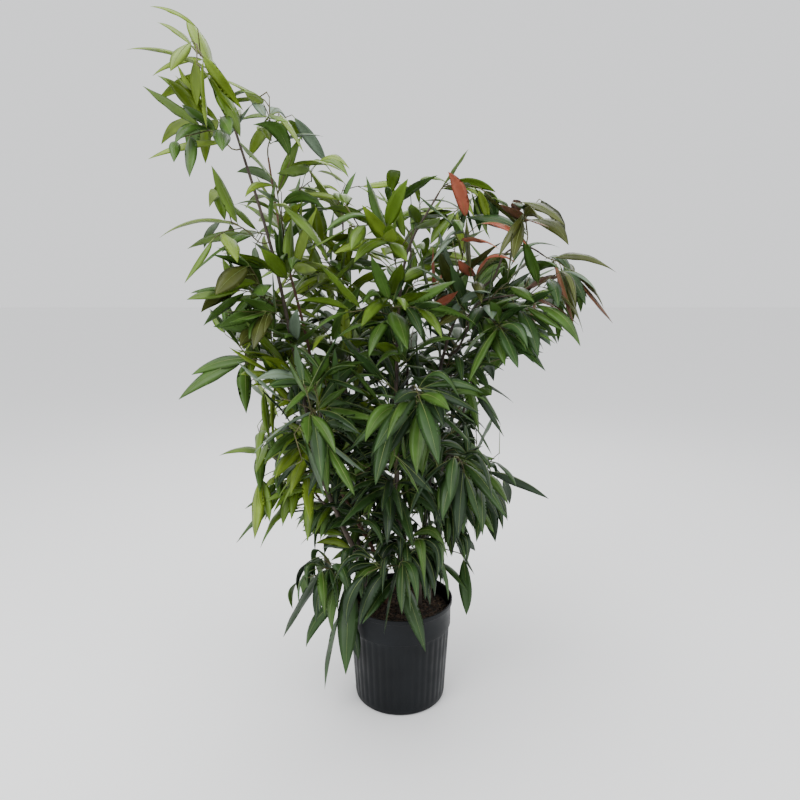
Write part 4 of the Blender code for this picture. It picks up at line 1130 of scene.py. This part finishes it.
class Spine:
    """The curve that a blade follows, from its root through its widest place to its tip."""

    def __init__(self, leaf, rng):
        self.root, self.tip = leaf["base"], leaf["tip"]
        t = WIDEST_AT
        self.pull = (leaf["middle"] - self.root * (1 - t) ** 2 - self.tip * t**2) / (2 * t * (1 - t))
        self.side = leaf["side"]
        self.twist = rng.uniform(-0.5, 0.5)

    def at(self, t):
        """The point, side, normal and direction at a share of the way."""
        point = self.root * (1 - t) ** 2 + self.pull * (2 * t * (1 - t)) + self.tip * t**2
        along = ((self.pull - self.root) * (1 - t) + (self.tip - self.pull) * t).normalized()
        side = Matrix.Rotation(self.twist * (t - 0.3), 3, along) @ self.side
        side = (side - along * side.dot(along)).normalized()
        return point, side, side.cross(along).normalized(), along


def blade_half_width(t):
    """A lance shape with a drawn-out tip: 0 at the stalk, 1 at its widest."""
    s = (t - BLADE_START) / (1 - BLADE_START)
    return math.sin(math.pi * min(max(s, 0.006), 0.994) ** 0.84) ** (0.7 + 0.22 * s)


def add_blade(leaf, breadth, rng, blades, midribs):
    """One blade, folded along its midrib and wavy at its edges, with its stalk and midrib."""
    spine = Spine(leaf, rng)
    half = leaf["length"] * BLADE_WIDTH * rng.uniform(0.44, 0.58) * breadth
    fold = math.radians(rng.uniform(8, 26))
    wave = leaf["length"] * rng.uniform(0.002, 0.009)
    waves = rng.uniform(1.5, 3)
    start = rng.uniform(0, math.tau)
    columns = ((-1, 0.2), (-0.5, 0.8), (0, 1), (0.5, 0.8), (1, 0.2), (0.5, -0.8), (0, -1), (-0.5, -0.8))
    points, faces = [], []
    for row in range(BLADE_ROWS):
        t = BLADE_START + (1 - BLADE_START) * row / (BLADE_ROWS - 1)
        centre, side, normal, _ = spine.at(t)
        width = half * blade_half_width(t)
        for across_share, level in columns:
            reach = width * across_share
            ripple = wave * math.sin(start + t * math.tau * waves + across_share) * across_share**2
            lift = -abs(reach) * math.sin(fold) + ripple * width / half
            point = centre + side * (reach * math.cos(fold))
            points.append(point + normal * (lift + level * BLADE_THICKNESS / 2))
    around = len(columns)
    for row in range(BLADE_ROWS - 1):
        for k in range(around):
            a, b = row * around + k, row * around + (k + 1) % around
            faces.append((a, b, b + around, a + around))
    faces.append(tuple(reversed(range(around))))
    faces.append(tuple((BLADE_ROWS - 1) * around + k for k in range(around)))
    blades.add(points, faces)
    line = [spine.root] + [points[row * around + 2] for row in range(BLADE_ROWS - 1)]
    ends = (PETIOLE_RADIUS, MIDRIB_END_RADIUS)
    last = len(line) - 1
    thick = [ends[0] + (ends[1] - ends[0]) * (row / last) ** 0.6 for row in range(last + 1)]
    tube(line, thick, 4, midribs)


def palette_of(mass, leaf):
    """The tones that a leaf may have, by its spray and by whether it grows inside the crown. Shoot leaves low
    inside the crown get the painted shade of the inner palette.
    """
    if leaf.get("inner") and leaf["tip"].z < INNER_TO and leaf["tip"].x > INNER_FROM:
        return PALETTE_INNER_SHADE.split()
    if mass["name"] in PALETTES:
        return PALETTES[mass["name"]].split()
    # By height: lower leaves get darker tones, as painted shade under the crown.
    height = mass["line"][-1].z
    if height > HIGH_FROM:
        return PALETTE_HIGH.split()
    return (PALETTE_LOW_SHADE if height < LOW_TO else PALETTE_MIDDLE).split()


def ride(piece, slot, *nodes):
    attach(piece, "root")
    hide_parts(*nodes)
    return piece


def last_growth(host, mass, twigs):
    """How far along a twig its last leaf or side twig grows, as a share, and 0 where it bears none."""
    path = host["path"]
    along = lengths_along(path)
    furthest = 0
    for root in [leaf["base"] for leaf in mass["leaves"]] + [twig[0] for twig in twigs]:
        for i, before in enumerate(path[:-1]):
            step = path[i + 1] - before
            share = min(max((root - before).dot(step) / step.length_squared, 0), 1)
            if (before + step * share - root).length < ROOT_NEAR:
                furthest = max(furthest, (along[i] + share * step.length) / along[-1])
    return furthest


def leafy_twigs(mass):
    """The paths of the mass's twigs, each cut off behind its last growth, the leader's last."""
    twigs = []
    for host in reversed(mass["hosts"]):
        share = last_growth(host, mass, twigs)
        if share < LEAST_GROWN:
            continue
        path = host["path"]
        heading = (path[1] - path[0]).normalized()
        smooth = [path[0] - heading * TWIG_ROOT] + smooth_path(path[1:], heading, 4)
        along = lengths_along(smooth)
        end = share * along[-1]
        twigs.append([p for p, s in zip(smooth, along) if s < end - ROOT_NEAR] + [place_on(smooth, share)[0]])
    return twigs


def make_foliage(crown):
    """Blades dealt out by tone, and all midribs and twigs, each kind joined into pieces."""
    blades = {tone: Pile() for tone in TONES}
    owners = {tone: set() for tone in TONES}
    midribs, twigs = Pile(), Pile()
    for name, mass in crown.masses.items():
        rng = random.Random("tone " + name)
        for leaf in mass["leaves"]:
            tones = palette_of(mass, leaf)
            tone = tones[rng.randrange(len(tones))]
            owners[tone].add(name)
            add_blade(leaf, BREADTHS.get(name, 1), rng, blades[tone], midribs)
        paths = leafy_twigs(mass)
        for path in paths:
            ends = LEADER_RADIUS if path is paths[-1] else TWIG_RADIUS
            tube(path, [0.75 * r for r in taper(path, ends)], BARK_SIDES_TWIG, twigs)
    everything = sorted(crown.masses)
    for tone, pile in blades.items():
        material = leaf_material(tone)
        for k, part in enumerate(pile.parts()):
            ride(part.object(f"blades_{tone}_{k}", material), "leaf", *sorted(owners[tone]))
    material = midrib_material()
    for k, part in enumerate(midribs.parts()):
        ride(part.object(f"midribs_{k}", material), "leaf", *everything)
    material = bark_material("twig", (0.060, 0.050, 0.018), (0.11, 0.10, 0.035))
    for k, part in enumerate(twigs.parts()):
        ride(part.object(f"twigs_{k}", material), "bark", *everything)


def make_bark(limbs):
    """Stems and boughs with swollen leaf joints, fine ridges and a slightly uneven girth."""
    piles = {"bark_brown": Pile(), "bark_russet": Pile()}
    owners = {"bark_brown": [], "bark_russet": []}
    for name, limb in limbs.items():
        coarse = limb["path"]
        total = lengths_along(coarse)[-1]
        foot, tip = STEMS[name][2:4] if name in STEMS else BOUGHS[name][3:5]
        flare = STEM_FLARE if name in STEMS else 0
        count = max(6, int(total / RING_STEP))
        smooth = [coarse[0]] + smooth_path(coarse[1:], (coarse[1] - coarse[0]).normalized(), 6)
        path = [place_on(smooth, k / count)[0] for k in range(count + 1)]
        away = [total * k / count for k in range(count + 1)]
        radii = []
        for s in away:
            near_joint = abs((s + 0.5 * NODE_STEP) % NODE_STEP - 0.5 * NODE_STEP)
            swell = NODE_SWELL * math.exp(-((near_joint / 0.004) ** 2)) * min(1, s / 0.1)
            radii.append((foot + (tip - foot) * s / total + flare * math.exp(-s / FLARE_LENGTH)) * (1 + swell))

        def wobble(place, out, ring, flare=flare):
            broad = noise.noise(place * 45 + out * 0.9)
            fine = noise.noise(Vector((out.x * 5, out.y * 5, place.z * 70)) + place * 8)
            rooted = 0.35 * noise.noise(out * 1.7) * math.exp(-away[ring] / 0.02) if flare else 0
            return 1 + 0.05 * broad + 0.045 * fine + rooted

        kind = "bark_russet" if name == "stem_russet" else "bark_brown"
        tube(path, radii, STEM_SIDES if name in STEMS else 10, piles[kind], wobble)
        owners[kind].append(name)
    brown = bark_material("brown", (0.030, 0.020, 0.014), (0.085, 0.062, 0.045))
    russet = bark_material("russet", (0.070, 0.028, 0.016), (0.16, 0.085, 0.05))
    for kind, material in (("bark_brown", brown), ("bark_russet", russet)):
        ride(piles[kind].object(kind, material), "bark", *owners[kind])


def arc(centre, radius, start, end, steps):
    """Points as radius and height on a round corner, from one angle to another in degrees."""
    angles = [math.radians(start + (end - start) * i / steps) for i in range(steps + 1)]
    return [(centre[0] + radius * math.cos(a), centre[1] + radius * math.sin(a)) for a in angles]


def make_pot():
    """The turned wall, with rounded flutes pressed into its band."""
    def band_radius(height):
        return POT_FOOT_RADIUS + (POT_BAND_RADIUS - POT_FOOT_RADIUS) * height / POT_COLLAR_HEIGHT

    lip_under = POT_HEIGHT - POT_LIP_HEIGHT
    foot = POT_FOOT_ROUNDING
    inner_top = POT_BAND_RADIUS - POT_WALL
    profile = [(0, POT_FLOOR), (POT_FOOT_RADIUS - POT_WALL, POT_FLOOR), (inner_top, POT_COLLAR_HEIGHT - 0.004)]
    profile += [(POT_COLLAR_RADIUS - POT_WALL, POT_COLLAR_HEIGHT), (POT_LIP_RADIUS - 2 * POT_WALL, lip_under)]
    profile += arc((POT_LIP_RADIUS - 0.0022, POT_HEIGHT - 0.0022), 0.0022, 150, 0, 8)
    profile += arc((POT_LIP_RADIUS - 0.0018, lip_under + 0.0018), 0.0018, 0, -90, 5)
    profile += [(POT_COLLAR_RADIUS + 0.001, lip_under - 0.0006), (POT_COLLAR_RADIUS, lip_under - 0.003)]
    profile += [(POT_COLLAR_RADIUS - 0.0008, lip_under - 0.03), (POT_COLLAR_RADIUS - 0.0008, 0.285)]
    profile += arc((POT_COLLAR_RADIUS - 0.0024, POT_COLLAR_HEIGHT + 0.0016), 0.0016, 0, -90, 4)
    profile += [(band_radius(POT_COLLAR_HEIGHT) + 0.0004, POT_COLLAR_HEIGHT - 0.0006)]
    band_rows = 22
    for i in range(band_rows + 1):
        height = RIB_TOP + RIB_RUN_OUT - 0.003 - (RIB_TOP - RIB_BOTTOM + 2 * RIB_RUN_OUT - 0.003) * i / band_rows
        profile.append((band_radius(height), height))
    profile += [(POT_FOOT_RADIUS + 0.0008, foot + 0.004)]
    profile += arc((POT_FOOT_RADIUS - foot, foot), foot, 0, -90, 8)
    profile += [(POT_FOOT_RADIUS - 0.03, 0), (0, 0)]
    columns = RIB_COUNT * COLUMNS_PER_RIB
    work = bmesh.new()
    rings = []
    for radius, height in profile:
        if radius == 0:
            rings.append([work.verts.new((0, 0, height))])
            continue
        ring = []
        for k in range(columns):
            angle = math.tau * k / columns
            rise = min(height - RIB_BOTTOM, RIB_TOP - height) + RIB_RUN_OUT
            strength = min(max(rise / RIB_RUN_OUT, 0), 1) if radius > POT_FOOT_RADIUS else 0
            flute = (0.5 - 0.5 * math.cos(RIB_COUNT * angle)) ** 1.6
            r = radius - RIB_DEPTH * strength * flute
            ring.append(work.verts.new((r * math.cos(angle), r * math.sin(angle), height)))
        rings.append(ring)
    for upper, lower in zip(rings, rings[1:]):
        for k in range(columns):
            j = (k + 1) % columns
            corners = [upper[k % len(upper)], lower[k % len(lower)], lower[j % len(lower)], upper[j % len(upper)]]
            work.faces.new(list(dict.fromkeys(corners)))
    bmesh.ops.recalc_face_normals(work, faces=work.faces)
    mesh = bpy.data.meshes.new("pot_shell")
    work.to_mesh(mesh)
    work.free()
    mesh.materials.append(pot_material())
    mesh.shade_smooth()
    mesh.set_sharp_from_angle(angle=math.radians(50))
    pot = bpy.data.objects.new("pot_shell", mesh)
    bpy.context.scene.collection.objects.link(pot)
    ride(pot, "pot_plastic", "pot")


def soil_height(x, y):
    lumps = noise.noise(Vector((x * 38, y * 38, 0.3))) + 0.6 * noise.noise(Vector((x * 95, y * 95, 2.1)))
    return SOIL_TOP - 0.001 + SOIL_ROUGHNESS * lumps


def make_soil():
    """A lumpy surface of crumbs with bark chips lying on it."""
    rings, columns = 46, 120
    floor = SOIL_TOP - 0.03
    points = [Vector((0, 0, soil_height(0, 0)))]
    for i in range(1, rings + 1):
        for k in range(columns):
            x = SOIL_RADIUS * i / rings * math.cos(math.tau * k / columns)
            y = SOIL_RADIUS * i / rings * math.sin(math.tau * k / columns)
            points.append(Vector((x, y, soil_height(x, y))))
    low = [Vector((p.x, p.y, floor)) for p in points[-columns:]]
    points += low + [Vector((0, 0, floor))]
    faces = [(0, 1 + k, 1 + (k + 1) % columns) for k in range(columns)]
    for i in range(rings):
        for k in range(columns):
            a, b = 1 + i * columns + k, 1 + i * columns + (k + 1) % columns
            faces.append((a, a + columns, b + columns, b))
    start, centre = 1 + rings * columns, len(points) - 1
    faces += [(start + (k + 1) % columns, start + k, centre) for k in range(columns)]
    surface = Pile()
    surface.add(points, faces)
    ride(surface.object("soil_surface", soil_material("earth", (0.010, 0.007, 0.005), (0.045, 0.030, 0.020))), "soil", "soil")
    rng = random.Random("chips")
    chips = Pile()
    for _ in range(CHIP_COUNT):
        radius = (SOIL_RADIUS - 0.012) * math.sqrt(rng.random())
        angle = rng.uniform(0, math.tau)
        x, y = radius * math.cos(angle), radius * math.sin(angle)
        size = rng.uniform(0.4, 1.0) ** 1.5
        half = Vector((0.010 * size, 0.0055 * size * rng.uniform(0.6, 1.2), 0.0022 * size))
        turn = Matrix.Rotation(rng.uniform(0, math.tau), 3, "Z") @ Matrix.Rotation(rng.uniform(-0.5, 0.5), 3, "X")
        corners = []
        for sx, sy, sz in ((-1, -1, -1), (1, -1, -1), (1, 1, -1), (-1, 1, -1), (-1, -1, 1), (1, -1, 1), (1, 1, 1), (-1, 1, 1)):
            shrink = rng.uniform(0.6, 1)
            corner = turn @ Vector((sx * half.x * shrink, sy * half.y * rng.uniform(0.6, 1), sz * half.z))
            corners.append(corner + Vector((x, y, soil_height(x, y) + 0.4 * half.z)))
        chips.add(corners, [(3, 2, 1, 0), (4, 5, 6, 7), (0, 1, 5, 4), (1, 2, 6, 5), (2, 3, 7, 6), (3, 0, 4, 7)])
    chip_object = chips.object("soil_chips", soil_material("chip", (0.030, 0.018, 0.011), (0.12, 0.075, 0.045)), smooth=False)
    ride(chip_object, "soil", "soil")


def new_material(name):
    material = bpy.data.materials.new(name)
    material.use_nodes = True
    return material, material.node_tree.nodes, material.node_tree.links


def noise_between(nodes, links, low, high, scale, detail=4, lo=0.35, hi=0.65, stretch=(1, 1, 1)):
    """A colour that wanders between two by a noise pattern fixed to the object."""
    place = nodes.new("ShaderNodeTexCoord")
    mapping = nodes.new("ShaderNodeMapping")
    mapping.inputs["Scale"].default_value = stretch
    pattern = nodes.new("ShaderNodeTexNoise")
    pattern.inputs["Scale"].default_value = scale
    pattern.inputs["Detail"].default_value = detail
    ramp = nodes.new("ShaderNodeValToRGB")
    ramp.color_ramp.elements[0].position = lo
    ramp.color_ramp.elements[0].color = (*low, 1)
    ramp.color_ramp.elements[1].position = hi
    ramp.color_ramp.elements[1].color = (*high, 1)
    links.new(place.outputs["Object"], mapping.inputs["Vector"])
    links.new(mapping.outputs["Vector"], pattern.inputs["Vector"])
    links.new(pattern.outputs["Fac"], ramp.inputs["Fac"])
    return ramp.outputs["Color"]


def add_bump(nodes, links, scale, strength, distance, detail=3):
    place = nodes.new("ShaderNodeTexCoord")
    pattern = nodes.new("ShaderNodeTexNoise")
    pattern.inputs["Scale"].default_value = scale
    pattern.inputs["Detail"].default_value = detail
    bump = nodes.new("ShaderNodeBump")
    bump.inputs["Strength"].default_value = strength
    bump.inputs["Distance"].default_value = distance
    links.new(place.outputs["Object"], pattern.inputs["Vector"])
    links.new(pattern.outputs["Fac"], bump.inputs["Height"])
    links.new(bump.outputs["Normal"], nodes["Principled BSDF"].inputs["Normal"])


def leaf_material(tone):
    """Waxy blade: its tone wanders a little along and between leaves, with a fine vein grain."""
    material, nodes, links = new_material("leaf_" + tone)
    base = TONES[tone]
    shader = nodes["Principled BSDF"]
    low = tuple(c * 0.72 for c in base)
    high = tuple(c * 1.3 for c in base)
    links.new(noise_between(nodes, links, low, high, 14, 5, 0.3, 0.7), shader.inputs["Base Color"])
    # The pale tone, whose colour is a painted sheen, gets a rougher face.
    shader.inputs["Roughness"].default_value = 0.5 if tone == "pale" else 0.4
    shader.inputs["Specular IOR Level"].default_value = 0.28
    add_bump(nodes, links, 260, 0.25, 0.0006)
    return material


def midrib_material():
    material, nodes, links = new_material("leaf_midrib")
    shader = nodes["Principled BSDF"]
    colour = noise_between(nodes, links, (0.09, 0.135, 0.030), (0.19, 0.235, 0.070), 9)
    links.new(colour, shader.inputs["Base Color"])
    shader.inputs["Roughness"].default_value = 0.5
    add_bump(nodes, links, 300, 0.2, 0.0004)
    return material


def bark_material(name, low, high):
    """Thin bark: darker and paler patches, pale pores, and a fine rough grain."""
    material, nodes, links = new_material("bark_" + name)
    shader = nodes["Principled BSDF"]
    patches = noise_between(nodes, links, low, high, 60, 6, 0.35, 0.7, (1, 1, 0.35))
    pores = noise_between(nodes, links, (0, 0, 0), (1, 1, 1), 420, 2, 0.66, 0.72, (1, 1, 2.2))
    mix = nodes.new("ShaderNodeMix")
    mix.data_type = "RGBA"
    mix.inputs[7].default_value = tuple(min(1, 1.9 * c) for c in high) + (1,)
    links.new(pores, mix.inputs[0])
    links.new(patches, mix.inputs[6])
    links.new(mix.outputs[2], shader.inputs["Base Color"])
    shader.inputs["Roughness"].default_value = 0.72
    add_bump(nodes, links, 240, 0.5, 0.0012, 6)
    return material


def soil_material(name, low, high):
    material, nodes, links = new_material("soil_" + name)
    shader = nodes["Principled BSDF"]
    links.new(noise_between(nodes, links, low, high, 130, 8, 0.38, 0.68), shader.inputs["Base Color"])
    shader.inputs["Roughness"].default_value = 0.95
    add_bump(nodes, links, 320, 0.8, 0.003, 8)
    return material


def pot_material():
    """Charcoal plastic with a satin face, a fine grain, faint dust and soft scuffs."""
    material, nodes, links = new_material("pot_satin_plastic")
    shader = nodes["Principled BSDF"]
    dust = noise_between(nodes, links, (0.0030, 0.0038, 0.0048), (0.0080, 0.0096, 0.0116), 7, 6, 0.35, 0.85)
    links.new(dust, shader.inputs["Base Color"])
    rough = noise_between(nodes, links, (0.36, 0.36, 0.36), (0.55, 0.55, 0.55), 16, 6, 0.3, 0.75)
    links.new(rough, shader.inputs["Roughness"])
    shader.inputs["Specular IOR Level"].default_value = 0.16
    add_bump(nodes, links, 520, 0.12, 0.0005)
    return material


def make_stage():
    """A plain pale floor under soft studio light."""
    bpy.ops.mesh.primitive_plane_add(size=40, location=(0, 0, 0))
    floor = bpy.context.object
    floor.name = "floor"
    material, nodes, links = new_material("floor")
    shader = nodes["Principled BSDF"]
    shader.inputs["Base Color"].default_value = (0.92, 0.92, 0.92, 1)
    shader.inputs["Roughness"].default_value = 0.9
    floor.data.materials.append(material)
    world = bpy.data.worlds.new("studio")
    bpy.context.scene.world = world
    world.use_nodes = True
    sky = world.node_tree.nodes["Background"]
    sky.inputs["Color"].default_value = (0.97, 0.98, 1, 1)
    sky.inputs["Strength"].default_value = 1.2
    for name, place, power, size in (
        ("key", (-1.9, -2.6, 3.4), 95, 2.2),
        ("fill", (2.6, -1.8, 2.2), 30, 2.4),
        ("back", (0.4, 2.8, 3.2), 45, 2.4),
        ("top", (-0.8, -0.2, 4.4), 80, 2.6),
    ):
        light = bpy.data.lights.new(name, "AREA")
        light.energy = power
        light.size = size
        lamp = bpy.data.objects.new(name, light)
        lamp.location = place
        lamp.rotation_euler = (Vector((0, 0, 1.1)) - Vector(place)).to_track_quat("-Z", "Y").to_euler()
        bpy.context.scene.collection.objects.link(lamp)


def make_camera():
    data = bpy.data.cameras.new("camera")
    data.lens = CAMERA_LENS
    data.sensor_width = CAMERA_SENSOR
    camera = bpy.data.objects.new("camera", data)
    camera.location = CAMERA_PLACE
    camera.rotation_euler = (math.radians(90 - CAMERA_DOWN), 0, 0)
    bpy.context.scene.collection.objects.link(camera)
    bpy.context.scene.camera = camera


def main():
    make_camera()
    make_stage()
    rough = bpy.data.collections.new("rough_limbs")
    bpy.context.scene.collection.children.link(rough)
    limbs = make_limbs(bpy.data.materials.new("rough"), rough)
    crown = grow_crown(limbs, [frame["nodes"]["pot"], frame["nodes"]["soil"]])
    add_shoots(crown)
    for mass in crown.masses.values():
        add_fine_growth(crown, mass)
    for obj in list(rough.objects):
        bpy.data.objects.remove(obj, do_unlink=True)
    bpy.data.collections.remove(rough)
    make_foliage(crown)
    make_bark(limbs)
    make_pot()
    make_soil()


main()
bpy.context.view_layer.update()
